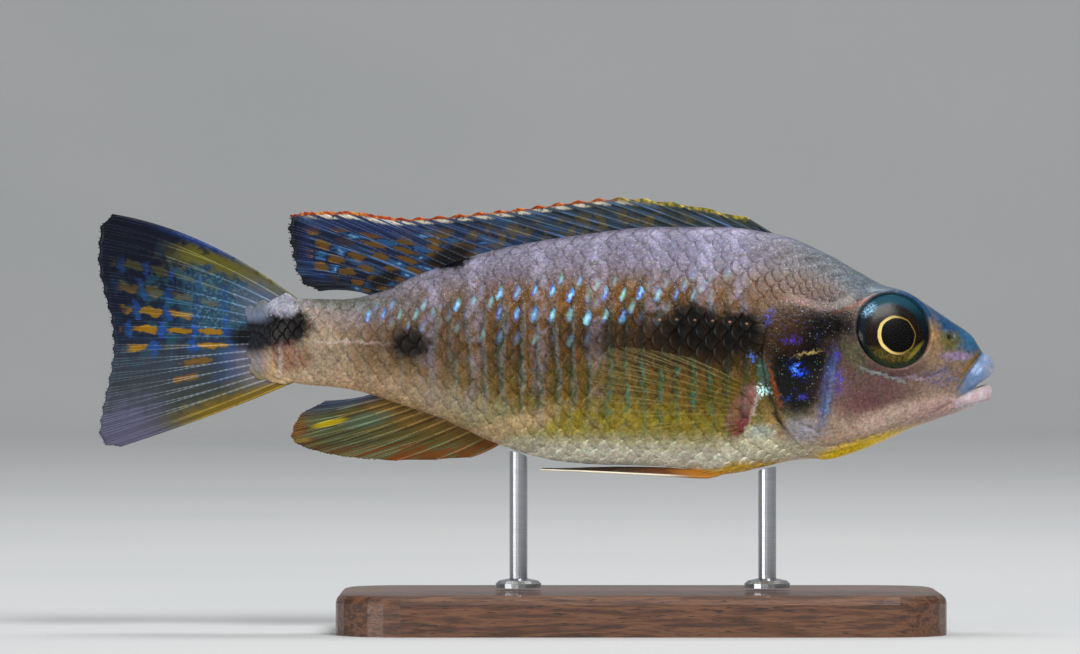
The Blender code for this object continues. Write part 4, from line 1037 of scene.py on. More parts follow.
def make_skin(material):
    body = make_body_form()
    points = point_array(body)
    normals = vertex_array(body, "normal")
    x, y, z = points.T
    outer = flank_width(x, z)
    inside = (1 - smooth_step(0.35, 0.7, np.abs(y) - outer + 1.0)) * smooth_step(38.5, 39.5, x)
    upper = lip_share(points, UPPER_LIP)
    lower = lip_share(points, LOWER_LIP)
    inside = inside * (1 - np.maximum(upper, lower)) * (np.abs(normals[:, 1]) < 0.5)
    height, crease_shade, nostril_shade = head_relief(x, z)
    side_facing = smooth_step(0.05, 0.35, np.abs(normals[:, 1]))
    ahead = smooth_step(12.5, 14.0, x)
    height = height * side_facing * ahead * (1 - np.maximum(upper, lower)) * (1 - inside)
    height = height - COAT_DEPTH * scaled_area(x, z)
    set_points(body, orbit(points + normals * height[:, None]))
    point_values(body, "rise", rise_share(x, z))
    point_values(body, "mouth_inside", inside)
    point_values(body, "upper_lip", upper)
    point_values(body, "lower_lip", lower)
    point_values(body, "crease_shade", crease_shade * side_facing * ahead * (1 - inside))
    point_values(body, "nostril_shade", nostril_shade * side_facing)
    faces = sum(len(p.vertices) - 2 for p in body.data.polygons)
    modify(body, "DECIMATE", ratio=min(1.0, SKIN_FACES / faces))
    body.data.shade_smooth()
    body.data.materials.clear()
    body.data.materials.append(material)
    return body


def read_grids(grids, column, row):
    """Values of each grid at places between its points, by fractional column and row."""
    i, j = column.astype(int), row.astype(int)
    a, b = (column - i)[..., None], (row - j)[..., None]
    return [(1 - a) * (1 - b) * grid[i, j] + a * (1 - b) * grid[i + 1, j]
            + (1 - a) * b * grid[i, j + 1] + a * b * grid[i + 1, j + 1] for grid in grids]


class Flank:
    """The body's surface on one side, read by x and by the height along the skin above its widest level."""

    step_x, step_up = 0.3, 0.15
    # How far in radians it runs on past the middle of the back and of the belly, for scales that cross them.
    past = 0.75

    def __init__(self, side):
        self.x = np.arange(-45.3, 30.0, self.step_x)
        self.up = np.arange(-24.0, 24.0, self.step_up)
        turns = np.linspace(-self.past, math.pi + self.past, 700)
        rows = []
        self.top = []
        self.bottom = []
        for x in self.x:
            y, z = section(x, turns)
            steps = np.hypot(np.diff(y), np.diff(z))
            arc = np.concatenate([[0], np.cumsum(steps)])
            up = np.interp(math.pi / 2, turns, arc) - arc
            rows.append(np.stack([np.full(len(self.up), x),
                                  side * np.interp(self.up, up[::-1], y[::-1]),
                                  np.interp(self.up, up[::-1], z[::-1])], -1))
            self.top.append(np.interp(0.0, turns, up))
            self.bottom.append(np.interp(math.pi, turns, up))
        self.points = np.array(rows)
        along = np.gradient(self.points, axis=0)
        upward = np.gradient(self.points, axis=1)
        self.normals = unit(np.cross(along, upward)) * (-side)

    def read(self, x, up):
        """Points and normals of the skin there."""
        column = np.clip((x - self.x[0]) / self.step_x, 0, len(self.x) - 1.001)
        row = np.clip((up - self.up[0]) / self.step_up, 0, len(self.up) - 1.001)
        points, normals = read_grids((self.points, self.normals), column, row)
        points[..., 0] += x - np.clip(x, self.x[0], self.x[-1])
        return points, normals


def scale_shape(rings=3, spokes=14):
    """One scale as points (along, across) on the unit disc, and the faces of its top, underside and rim."""
    points = [(0.0, 0.0)]
    for ring in range(1, rings + 1):
        reach = (ring / rings) ** 0.8
        for k in range(spokes):
            turn = FULL_TURN * (k + 0.5 * (ring % 2)) / spokes
            points.append((reach * math.cos(turn), reach * math.sin(turn)))
    count = len(points)
    faces = [(0, 1 + k, 1 + (k + 1) % spokes) for k in range(spokes)]
    for ring in range(1, rings):
        inner = 1 + (ring - 1) * spokes
        outer = 1 + ring * spokes
        for k in range(spokes):
            after = (k + 1) % spokes
            if ring % 2:
                faces.append((inner + k, outer + k, outer + after))
                faces.append((inner + k, outer + after, inner + after))
            else:
                faces.append((inner + k, outer + k, inner + after))
                faces.append((inner + after, outer + k, outer + after))
    under = [tuple(count + i for i in reversed(face)) for face in faces]
    rim = 1 + (rings - 1) * spokes
    sides = []
    for k in range(spokes):
        after = (k + 1) % spokes
        sides.append((rim + k, count + rim + k, count + rim + after, rim + after))
    return np.array(points), faces + under + sides


def scale_sites(flank, randomness):
    """Centres of scales in staggered rows along one flank, as (x, height along the skin)."""
    step = 0.05
    places = np.arange(-46.0, 27.5, step)
    counted = np.concatenate([[0], np.cumsum(step / scale_pitch(places[:-1] + step / 2))])
    sites = []
    for row in range(-SCALE_ROWS_EACH_WAY, SCALE_ROWS_EACH_WAY + 1):
        for column in np.arange(0.5 * (row % 2), counted[-1], 1.0):
            x = float(np.interp(column, counted, places))
            up = row * float(scale_pitch(x)) * SCALE_ROW_SHARE
            top = float(np.interp(x, flank.x, flank.top))
            bottom = float(np.interp(x, flank.x, flank.bottom))
            if not bottom + 0.1 < up < top - 0.1:
                continue
            z = float(flank.read(np.array([x]), np.array([up]))[0][0, 2])
            ahead = x - float(gill_edge(z))
            if ahead > -0.6 and z < nape_foot(x) + 0.45 or x > NAPE_FRONT:
                continue
            sites.append((x + randomness.uniform(-0.06, 0.06), up + randomness.uniform(-0.05, 0.05)))
    return np.array(sites)


# Rows of bright spots along the upper flank: from and to (x, z), half width and strength.
SHINE_ROWS = [((-12.5, 43.2), (-3.0, 43.2), 0.6, 0.8), ((-17.5, 41.2), (8.4, 41.8), 0.75, 1.0),
              ((-33.0, 39.0), (-17.5, 40.6), 0.9, 0.7), ((-30.0, 38.0), (-17.0, 38.3), 0.5, 0.8),
              ((-17.0, 38.4), (3.5, 39.4), 0.75, 0.9), ((-20.0, 36.4), (-3.5, 36.4), 0.5, 0.4),
              ((4.0, 43.8), (11.0, 43.4), 0.8, 0.35)]


def shine_at(x, z, randomness):
    """How bright the spot is on the scale at x and z."""
    best = 0.0
    for low, high, width, strength in SHINE_ROWS:
        away = along_line(np.array([x]), np.array([z]), [low, high])[0]
        best = max(best, strength * math.exp(-(float(away[0]) / width) ** 2))
    if best < 0.12:
        return 0.0
    return min(1.0, best * randomness.choice((0.2, 0.6, 0.85, 1.0, 1.15)))


def swept(root, tip, shares, bend=0.0, sway=0.0):
    """Points up a ray from root to tip. Bend lifts its middle towards +Z and sway moves its tip along Y."""
    points = root + (tip - root) * shares[:, None]
    points[:, 2] += bend * 4 * shares * (1 - shares)
    points[:, 1] += sway * shares ** 2
    return points


def sunk(root, tip, toward):
    """The root moved into the body, along the ray and by half as much up or down."""
    away = tip - root
    return root - away / np.linalg.norm(away) * FIN_SINK + np.array((0, 0, toward * FIN_SINK / 2))


def dorsal_ray(k, shares):
    x = through(DORSAL_ROOTS, k)[0]
    tip_x, tip_z = through(DORSAL_TIPS, k)
    root, tip = np.array((x, 0, back(x))), np.array((tip_x, 0, tip_z))
    soft = float(smooth_step(DORSAL_SPINES, DORSAL_RAYS, k))
    return swept(sunk(root, tip, -1), tip, shares, 0.6 * soft, 0.5 * soft)


def anal_ray(k, shares):
    x = through(ANAL_ROOTS, k)[0]
    tip_x, tip_z = through(ANAL_TIPS, k)
    root, tip = np.array((x, 0, belly(x))), np.array((tip_x, 0, tip_z))
    return swept(sunk(root, tip, 1), tip, shares, -0.3, -0.4 * k / ANAL_RAYS)


def caudal_ray(k, shares):
    root_x, root_z = through(CAUDAL_ROOTS, k)
    tip_x, tip_z = through(CAUDAL_TIPS, k)
    across = 2 * k / (CAUDAL_RAYS - 1) - 1
    bow = CAUDAL_BOW[0] * (-across) ** 1.5 if across < 0 else CAUDAL_BOW[1] * across
    root, tip = np.array((root_x, 0, root_z)), np.array((tip_x, 0, tip_z))
    return swept(root, tip, shares, bow, CAUDAL_WAVE * across)


def pectoral_ray(side):
    top, foot = np.array(PECTORAL_BASE_TOP), np.array(PECTORAL_BASE_FOOT)
    flare = math.radians(PECTORAL_FLARE_DEG)

    def ray(k, shares):
        x, z = top + (foot - top) * k / (PECTORAL_RAYS - 1)
        root = on_flank(x, z, side)
        length = through(PECTORAL_LENGTHS, k)[0]
        angle = math.radians(through(PECTORAL_ANGLES, k)[0])
        way = np.array((-math.cos(angle) * math.cos(flare), side * math.sin(flare),
                        math.sin(angle) * math.cos(flare)))
        start = root - way * FIN_SINK * 0.8 - np.array((0, side * 0.3, 0))
        return swept(start, root + way * length, shares, 0.2, -side * 0.8)

    return ray


def under_belly(x, y):
    """The height of the body's underside."""
    level = widest_level(x)
    squareness = keel_squareness(x)
    share = np.minimum(1, np.abs(y) / half_width(x))
    return level - (level - belly(x)) * (1 - share ** squareness) ** (1 / squareness)


def pelvic_ray(side):
    outer, inner = np.array(PELVIC_ROOT), np.array(PELVIC_ROOT_INNER)

    def ray(k, shares):
        root = outer + (inner - outer) * k / (PELVIC_RAYS - 1)
        tip = np.array(through(PELVIC_TIPS, k))
        x, y = (root + (tip - root) * shares[:, None]).T
        belly_skin = under_belly(x, y)
        rise = k / (PELVIC_RAYS - 1) * (1 - 0.8 * smooth_step(0.75, 1.0, shares))
        low = pelvic_edge(x) + (belly_skin - PELVIC_INNER_DROP - pelvic_edge(x)) * rise
        sunk_start = (belly_skin + 0.9 - low) * (1 - smooth_step(0, 0.22, shares))
        return np.stack([x, side * y, low + sunk_start], -1)

    return ray


class FinSheet:
    """The middle surface of a fin, read by ray number and by the share of the way up the ray."""

    def __init__(self, ray_at, rays):
        self.rays = rays
        self.per_ray = 8
        self.rows = 48
        self.shares = np.linspace(0, 1, self.rows + 1)
        count = (rays - 1) * self.per_ray + 1
        numbers = np.linspace(0, rays - 1, count)
        self.points = np.array([ray_at(k, self.shares) for k in numbers])
        across = np.gradient(self.points, axis=0)
        along = np.gradient(self.points, axis=1)
        self.normals = unit(np.cross(along, across))
        self.margin = self.points[:, -1]

    def read(self, k, share):
        """Points and normals of the fin there."""
        column = np.clip(np.asarray(k, float) * self.per_ray, 0, len(self.points) - 1.001)
        row = np.clip(np.asarray(share, float) * self.rows, 0, self.rows - 0.001)
        return read_grids((self.points, self.normals), column, row)

    def ray_lengths(self, numbers):
        tips, roots = (self.read(numbers, np.full(len(numbers), share))[0] for share in (1.0, 0.0))
        return np.linalg.norm(tips - roots, axis=-1)

    def margin_distance(self, points):
        """How far each point lies from the fin's free edge."""
        steps = self.margin[::2]
        return np.min(np.linalg.norm(points[:, None, :] - steps[None, :, :], axis=-1), axis=1)


def tail_sites(randomness):
    """Centres of the small scales over the tail fin's root, as (ray number, share of the way up the ray)."""
    sites = []
    for row in range(TAIL_SCALE_ROWS):
        from_end = min(row, TAIL_SCALE_ROWS - 1 - row)
        row_reach = TAIL_SCALE_REACH * min(1.0, 0.4 + 0.2 * from_end)
        for column in range(TAIL_SCALE_COLUMNS):
            share = (column + 0.5 * (row % 2) + 0.4) * TAIL_SCALE_REACH / TAIL_SCALE_COLUMNS
            if share > row_reach * randomness.uniform(0.85, 1.0):
                continue
            ray = 0.9 + 1.17 * row + randomness.uniform(-0.1, 0.1)
            sites.append((ray, share + randomness.uniform(-0.004, 0.004)))
    return np.array(sites)


def flank_scales(side, along, across, randomness):
    """Each scale of the flank as points, normals, pitch, level on the skin and root on the map."""
    flank = Flank(side)
    sites = scale_sites(flank, randomness)
    pitch = scale_pitch(sites[:, 0])
    x = sites[:, 0, None] + pitch[:, None] * SCALE_HALF[0] * along
    up = sites[:, 1, None] + pitch[:, None] * SCALE_HALF[1] * across
    points, normals = flank.read(x, up)
    level = -COAT_DEPTH * (1 + 0.2 * pitch / LARGEST_PITCH)
    root = np.stack([np.interp(sites[:, 0], (-47, 31), (0.14, 0.98)),
                     np.interp(sites[:, 1], (-25, 25), (0.02, 0.98))], -1)
    return points, normals, pitch, level, root


def tail_scales(side, along, across, randomness):
    """Each scale on the tail fin's root, as for the flank. They grow smaller and flatter rearwards."""
    sheet = FinSheet(caudal_ray, CAUDAL_RAYS)
    ray, share = tail_sites(randomness).T
    length = sheet.ray_lengths(ray)
    pitch = 1.2 - 1.6 * share
    ray_gap = 0.55 + 1.1 * share
    points, normals = sheet.read(ray[:, None] + (pitch * SCALE_HALF[1] / ray_gap)[:, None] * across,
                                 share[:, None] - (pitch * SCALE_HALF[0] / length)[:, None] * along)
    normals *= side * np.sign(normals[..., 1:2])
    level = 0.3 - 0.9 * share
    root = np.stack([0.12 - 0.4 * share, np.interp(ray, (0, CAUDAL_RAYS - 1), (0.05, 0.95))], -1)
    return points, normals, pitch, level, root


def make_scales(side, material):
    name = "scales_left" if side > 0 else "scales_right"
    randomness = random.Random(7 + side)
    disc, faces = scale_shape()
    along, across = disc.T
    reach = np.hypot(along, across)
    laid = zip(flank_scales(side, along, across, randomness), tail_scales(side, along, across, randomness))
    points, normals, pitch, level, root = (np.concatenate(pair) for pair in laid)
    size = pitch[:, None] / LARGEST_PITCH
    # A scale rises towards its free edge, where it is thinnest.
    lift = (1 - along) / 2
    top = level[:, None] + (0.06 * lift - 0.02 * reach ** 6) * size
    under = top - (0.03 + 0.05 * (1 - lift))
    rim = reach > 0.999
    under[:, rim] = top[:, rim] - 0.018 * size
    both = np.concatenate([points + normals * top[..., None], points + normals * under[..., None]], 1)
    total, step = len(both), both.shape[1]
    all_faces = [tuple(i + n * step for i in face) for n in range(total) for face in faces]
    piece = mesh_piece(name, both.reshape(-1, 3), all_faces, material)
    centres = both[:, 0]
    shine = [shine_at(c[0], c[2], randomness) for c in centres]
    rear, front, level_line = PORE_LINE
    pore = [float(abs(c[2] - level_line) < 0.75 and rear < c[0] < front) for c in centres]
    tint = [randomness.random() for _ in centres]
    flat = both.reshape(-1, 3)
    point_values(piece, "rise", rise_share(flat[:, 0], flat[:, 2]))
    point_values(piece, "along", np.tile(np.concatenate([along, along]), total))
    point_values(piece, "across", np.tile(np.concatenate([across, across]), total))
    point_values(piece, "shine", np.repeat(shine, step))
    point_values(piece, "tint", np.repeat(tint, step))
    point_values(piece, "line_pore", np.repeat(pore, step))
    patch = np.stack([np.concatenate([along, along]), np.concatenate([across, across])], -1) * SCALE_MAP_SHARE
    corner_map(piece, "OFBake", (root[:, None, :] + patch[None, :, :]).reshape(-1, 2))
    return piece


def fin_margin(k, spines, notch):
    """How far the edge falls short, in mm: a tooth behind each spine, a shallow dip between soft rays."""
    part = k - np.floor(k)
    tooth = span(part, 0.0, 0.8, 0.82, 1.0)
    dip = 4 * part * (1 - part) * 0.5
    return notch * np.where(k < spines, tooth, dip)


def fin_membrane(sheet, spines, notch, thick):
    """Points, faces, ray numbers and shares of the skin between the rays, as one closed thin sheet."""
    per_gap, rows = 8, 44
    numbers = np.linspace(0, sheet.rays - 1, (sheet.rays - 1) * per_gap + 1)
    reach = 1 - fin_margin(numbers, spines, notch) / sheet.ray_lengths(numbers)
    shares = np.linspace(0, 1, rows + 1)[None, :] * reach[:, None]
    ks = np.broadcast_to(numbers[:, None], shares.shape)
    middle, normal = sheet.read(ks, shares)
    half = (thick[0] + (thick[1] - thick[0]) * shares)[..., None] / 2
    sides = [middle + normal * half, middle - normal * half]
    count, step = len(numbers), rows + 1
    size = count * step
    faces = []
    for i in range(count - 1):
        for j in range(rows):
            a, b = i * step + j, (i + 1) * step + j
            faces.append((a, b, b + 1, a + 1))
            faces.append((size + a, size + a + 1, size + b + 1, size + b))
    rim = [(i, 0) for i in range(count)] + [(count - 1, j) for j in range(1, rows + 1)]
    rim += [(i, rows) for i in range(count - 2, -1, -1)] + [(0, j) for j in range(rows - 1, 0, -1)]
    for (i, j), (m, n) in zip(rim, rim[1:] + rim[:1]):
        a, b = i * step + j, m * step + n
        faces.append((a, size + a, size + b, b))
    points = np.concatenate([side.reshape(-1, 3) for side in sides])
    return points, faces, np.tile(ks.ravel(), 2), np.tile(shares.ravel(), 2)


# Corners in a fin ray's section.
RAY_SIDES = 8


def fin_tube(sheet, numbers, shares, sizes):
    """Points, ray numbers and shares of a tapering ray along the sheet."""
    middle, normal = sheet.read(numbers, shares)
    along = np.gradient(middle, axis=0)
    across = unit(np.cross(along, normal))
    turns = FULL_TURN * np.arange(RAY_SIDES) / RAY_SIDES
    ring = normal[:, None, :] * np.cos(turns)[None, :, None]
    ring = ring + across[:, None, :] * np.sin(turns)[None, :, None]
    points = middle[:, None, :] + ring * sizes[:, None, None]
    return points.reshape(-1, 3), np.repeat(numbers, RAY_SIDES), np.repeat(shares, RAY_SIDES)


# How many times a soft ray has forked, from and to which shares of its length.
FORKS = ((0, 0.0, 0.36), (1, 0.3, 0.66), (2, 0.6, 1.0))


def soft_ray(k, root_size):
    """The branches of a soft ray, each as (ray numbers, shares, half widths)."""
    branches = []
    for splits, low, high in FORKS:
        shares = np.linspace(low, high, 14)
        for n in range(2 ** splits):
            first = 0.0 if splits == 0 else (1 if n % 2 else -1)
            second = 0.0 if splits < 2 else (1 if n // 2 else -1)
            spread = 0.2 * first * smooth_step(0.28, 0.85, shares)
            spread = spread + 0.1 * second * smooth_step(0.58, 1.0, shares)
            size = root_size * (1 - 0.5 * shares) * 0.78 ** splits
            branches.append((k + spread, shares, size))
    return branches


def spine(k, root_size):
    """A spine as (ray numbers, shares, half widths)."""
    shares = np.linspace(0, 1, 26)
    return np.full(len(shares), float(k)), shares, root_size * 1.15 * (1 - 0.62 * shares)


def make_fin(name, ray_at, rays, material, spines=0, notch=0.25, thick=(0.2, 0.08), ray_size=0.2):
    """A fin's membrane and rays. Thick is the membrane's thickness at its root and at its edge."""
    sheet = FinSheet(ray_at, rays)
    points, faces, numbers, shares = fin_membrane(sheet, spines, notch, thick)
    made = [(points, numbers, shares, np.zeros(len(points)))]
    start = len(points)
    for k in range(rays):
        branches = [spine(k, ray_size)] if k < spines else soft_ray(k, ray_size)
        for ks, up, sizes in branches:
            tube = fin_tube(sheet, np.clip(ks, 0, rays - 1), up, sizes)
            faces += [tuple(start + i for i in face) for face in tube_faces(len(up), RAY_SIDES)]
            start += len(tube[0])
            made.append((*tube, np.ones(len(tube[0]))))
    points, numbers, shares, on_ray = (np.concatenate(values) for values in zip(*made))
    piece = mesh_piece(name + "_skin", points, faces, material)
    point_values(piece, "ray", numbers)
    point_values(piece, "share", shares)
    point_values(piece, "on_ray", on_ray)
    point_values(piece, "margin", sheet.margin_distance(points))
    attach(piece, "root")
    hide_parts(name)


def ray_streaks(graph, ray, share, across, along):
    """Noise drawn out along the rays, so many times finer across and along."""
    return graph.noise(graph.vector(graph.times(ray, across), graph.times(share, along)), 1.0, 3.0, 0.6)


def fin_shade_group():
    """Joint marks and lengthwise streaks that all fins share."""
    graph, given, out = new_group("Fin rays", [
        ("Colour", "colour", (0.5, 0.5, 0.5)), ("Ray", "value", 0.0), ("Share", "value", 0.0),
        ("On ray", "value", 0.0), ("Ray light", "value", 0.3)], [("Colour", "colour"), ("Height", "value")])
    streak = ray_streaks(graph, given["Ray"], given["Share"], 9.0, 2.5)
    colour = graph.shaded(given["Colour"], graph.scaled(streak, 1.1, 0.45))
    colour = graph.shaded(colour, graph.scaled(given["On ray"], 0.75, 0.72))
    joint = graph.math("SINE", graph.times(given["Share"], 190.0))
    dashed = graph.scaled(joint, 0.35, 0.65)
    pale = graph.times(given["On ray"], given["Ray light"], dashed)
    colour = graph.mix(pale, colour, "929ea8")
    graph.put(out["Colour"], colour)
    wave = graph.times(joint, graph.times(given["On ray"], 0.02))
    graph.put(out["Height"], graph.plus(wave, graph.times(streak, 0.05)))
    return graph.tree


def fin_material(name, groups, pattern, ray_light=0.06, pale_rays=None, alpha=1.0, ray_alpha=1.0):
    """A fin's material. Pattern gives its colour, from the fin's values and the group of soft patches.

    Between the two ray numbers of pale_rays, the rays themselves are pale over most of their length.
    """
    material, graph, shader = new_material(name)
    fin = {label: graph.value_of(label) for label in ("ray", "share", "margin")}
    fin.update(place=graph.place(), patch=groups["patch"])
    on_ray = graph.value_of("on_ray")
    if pale_rays:
        dulled = graph.scaled(graph.rise(fin["share"], 0.5, 0.8), -0.5, 1)
        bright = graph.times(graph.window(fin["ray"], *pale_rays, 0.6), dulled)
        ray_light = graph.scaled(bright, 0.36, ray_light)
    shade = graph.group(groups["fin rays"], {
        "Colour": pattern(graph, fin), "Ray": fin["ray"], "Share": fin["share"], "On ray": on_ray,
        "Ray light": ray_light})
    graph.look(shader, colour=shade["Colour"], roughness=0.4, specular=0.12, coat=0.04, coat_roughness=0.15)
    if alpha < 1:
        graph.look(shader, alpha=graph.math("MAXIMUM", alpha, graph.times(on_ray, ray_alpha)))
    set_bump(graph, shader, shade["Height"])
    return material


def cell_spots(graph, ray, phase, centre, halves, keep):
    """Rounded spots, one between two rays for each whole step of the phase. Keep is the share kept."""
    place = graph.place()
    stray = graph.scaled(graph.noise(place, 0.8, 1.0), 0.5, -0.25)
    ray = graph.plus(ray, stray)
    frayed = graph.noise(graph.stretched(place, (0.4, 1.0, 1.0)), 2.2, 2.0, 0.6)
    phase = graph.plus(phase, graph.scaled(frayed, 0.6, -0.3))
    part, row = graph.math("FRACT", ray), graph.math("FLOOR", ray)
    step, cell = graph.math("FRACT", phase), graph.math("FLOOR", phase)
    across = graph.math("ABSOLUTE", graph.over(graph.minus(part, 0.5), halves[0]))
    along = graph.math("ABSOLUTE", graph.over(graph.minus(step, centre), halves[1]))
    squareness = 2.6
    reach = graph.plus(graph.math("POWER", across, squareness), graph.math("POWER", along, squareness))
    reach = graph.math("POWER", reach, 1 / squareness)
    seed = graph.vector(row, cell, 10 * centre)
    chance = graph.node("TexWhiteNoise", {"Vector": seed}, noise_dimensions="3D").outputs["Value"]
    return graph.times(graph.rise(reach, 1.15, 0.7), graph.rise(chance, keep + 0.08, keep - 0.08))


def patches_over(graph, fin, colour, patches):
    """Lays soft patches of colour, each (centre, half sizes, lean, strength, colour), over a colour."""
    for centre, halves, lean, strength, tone in patches:
        mask = patch_mask(graph, fin["patch"], fin["place"], centre, halves, lean, 0.4)
        colour = graph.lay(colour, tone, mask, strength)
    return colour


def caudal_bars(graph, colour, ray, share, reach):
    """Gold and blue bars, a row to every ray and a half, fainter and closer together upwards."""
    line_up = graph.over(graph.minus(ray, 0.75), 1.5)
    row = graph.math("FLOOR", line_up)
    often = graph.scaled(graph.math("MAXIMUM", graph.minus(5.0, row), 0.0), 0.75, 4.2)
    phase = graph.scaled(graph.minus(share, 0.39), often, 1.36)
    middle = graph.times(graph.window(ray, 2.6, 9.75, 0.4), graph.window(reach, 0.27, 0.9, 0.05))
    strong = graph.scaled(graph.rise(ray, 4.0, 7.4), 0.62, 0.32)
    gold_tone = graph.mix(graph.rise(ray, 3.0, 7.0), "5c5820", "9a7004")
    gold_bars, blue_bars = (0.36, (0.22, 0.38), 0.9, gold_tone), (0.86, (0.5, 0.13), 0.8, "20488c")
    for centre, halves, keep, tone in (gold_bars, blue_bars):
        spots = cell_spots(graph, line_up, phase, centre, halves, keep)
        colour = graph.lay(colour, tone, middle, strong, spots)
    # Two longer, duller bars below them.
    low = graph.times(graph.window(ray, 9.75, 12.75, 0.1), graph.window(reach, 0.3, 0.7, 0.05))
    low_phase = graph.scaled(share, 2.0, graph.times(row, -0.13))
    low_bars = cell_spots(graph, line_up, low_phase, 0.14, (0.26, 0.2), 1.0)
    return graph.lay(colour, "7c5a14", low, low_bars, 0.8)


# Zones of colour on a fin: tone, strength, and spans of (axis, low, high) or (axis, low, high, softness). The
# zone's share rises from low to high along an axis, or fills a window between them with soft ends.
CAUDAL_GROUND = [
    ("2a4860", 0.8, ("line", 1.5, 8.0, 1.2), ("reach", 0.0, 0.52, 0.1)),
    ("5c8494", 0.5, ("line", 1.5, 8.0, 1.2), ("reach", 0.0, 0.52, 0.1), ("fine", 0.5, 0.62)),
    ("285868", 0.5, ("broad", 0.48, 0.6), ("line", 1.5, 10.0, 1.5)),
    ("070b20", 0.85, ("line", 11.0, 6.0), ("reach", 0.66, 0.92)),
    ("66601a", 0.8, ("sloped", -0.8, 0.8, 0.5), ("reach", -0.1, 0.62, 0.12)),
    ("183878", 0.7, ("ray", 0.5, 0.1), ("reach", 0.34, 0.84, 0.14)),
    ("05081a", 0.8, ("line", 5.0, 2.0), ("reach", 0.5, 0.8)),
]
CAUDAL_LOWER = [
    ("284a84", 0.5, ("ray", 9.4, 13.4, 0.5), ("reach", 0.1, 0.34, 0.08)),
    ("5c5a78", 0.75, ("line", 11.5, 14.5), ("reach", 0.55, 0.85)),
    ("7c6414", 0.85, ("line", 14.6, 16.2), ("reach", 0.75, 0.45)),
    ("7c7474", 0.8, ("line", 9.5, 15.5, 1.0), ("reach", 0.36, 0.1)),
    ("646c80", 0.8, ("line", 0.5, 5.5, 1.0), ("reach", 0.34, 0.1)),
]
DORSAL_GROUND = [
    ("3c5c84", 0.6, ("mottled", 0.5, 0.62)),
    ("080d18", 0.85, ("part", 0.1, 0.42, 0.15), ("line", 19.0, 13.0), ("mottled", 0.62, 0.45)),
    ("5a4c22", 0.7, ("blotch", 0.46, 0.6), ("share", 0.85, 0.5), ("line", 3.0, 18.0, 1.0)),
]
DORSAL_ENDS = [
    ("14224c", 0.7, ("margin", 1.0, 2.4, 0.4), ("line", 14.0, 18.0)),
    ("06080e", 0.8, ("x", -40.4, -42.6)),
    ("06070e", 0.9, ("ray", 25.2, 26.2), ("share", 0.35, 0.6)),
]
DORSAL_DASHES = [
    ("d0c8b4", 1.0, ("level", 0.42, 0.92, 0.16), ("part", 0.2, 0.74, 0.16), ("ray", 3.0, 5.5),
     ("ray", 21.0, 19.5), ("frayed", 0.32, 0.5)),
]
ANAL_GROUND = [
    ("2c1a0c", 0.6, ("part", 0.55, 0.98, 0.2), ("mottled", 0.62, 0.42)),
    ("5a6444", 0.6, ("mottled", 0.46, 0.6), ("reach", 0.25, 0.55)),
]


def zones_over(graph, colour, axes, zones):
    """The colour with a table of zones laid over it, axes being the values that the zones name."""
    for tone, strength, *spans in zones:
        shares = [(graph.window if len(ends) > 2 else graph.rise)(axes[axis], *ends) for axis, *ends in spans]
        colour = graph.lay(colour, tone, *shares, strength)
    return colour


def caudal_colours(graph, fin):
    """Navy and slate above with a yellow band, gold and bright blue spots at the middle, grey-green below."""
    ray, share, place = fin["ray"], fin["share"], fin["place"]
    ragged = graph.scaled(graph.noise(place, 0.7, 3.0, 0.7), 3.2, -1.6)
    line = graph.plus(ray, ragged)
    reach = graph.scaled(ragged, 0.06, share)
    axes = {**fin, "line": line, "reach": reach, "sloped": graph.plus(line, graph.times(share, -2.2)),
            "fine": graph.noise(place, 3.0, 2.0), "broad": graph.noise(place, 0.6, 3.0)}
    colour = graph.blend(graph.over(line, 17.0), [
        (0.0, "080f26"), (0.2, "0b1728"), (0.45, "15263c"), (0.6, "343c48"),
        (0.8, "383e3c"), (1.0, "4c4c34")])
    colour = zones_over(graph, colour, axes, CAUDAL_GROUND)
    colour = caudal_bars(graph, colour, ray, share, reach)
    colour = zones_over(graph, colour, axes, CAUDAL_LOWER)
    return patches_over(graph, fin, colour, (
        ((-46.9, 36.1), (3.6, 1.5), 0, 0.97, "040306"), ((-44.4, 37.0), (2.5, 2.0), 0, 0.97, "040306")))


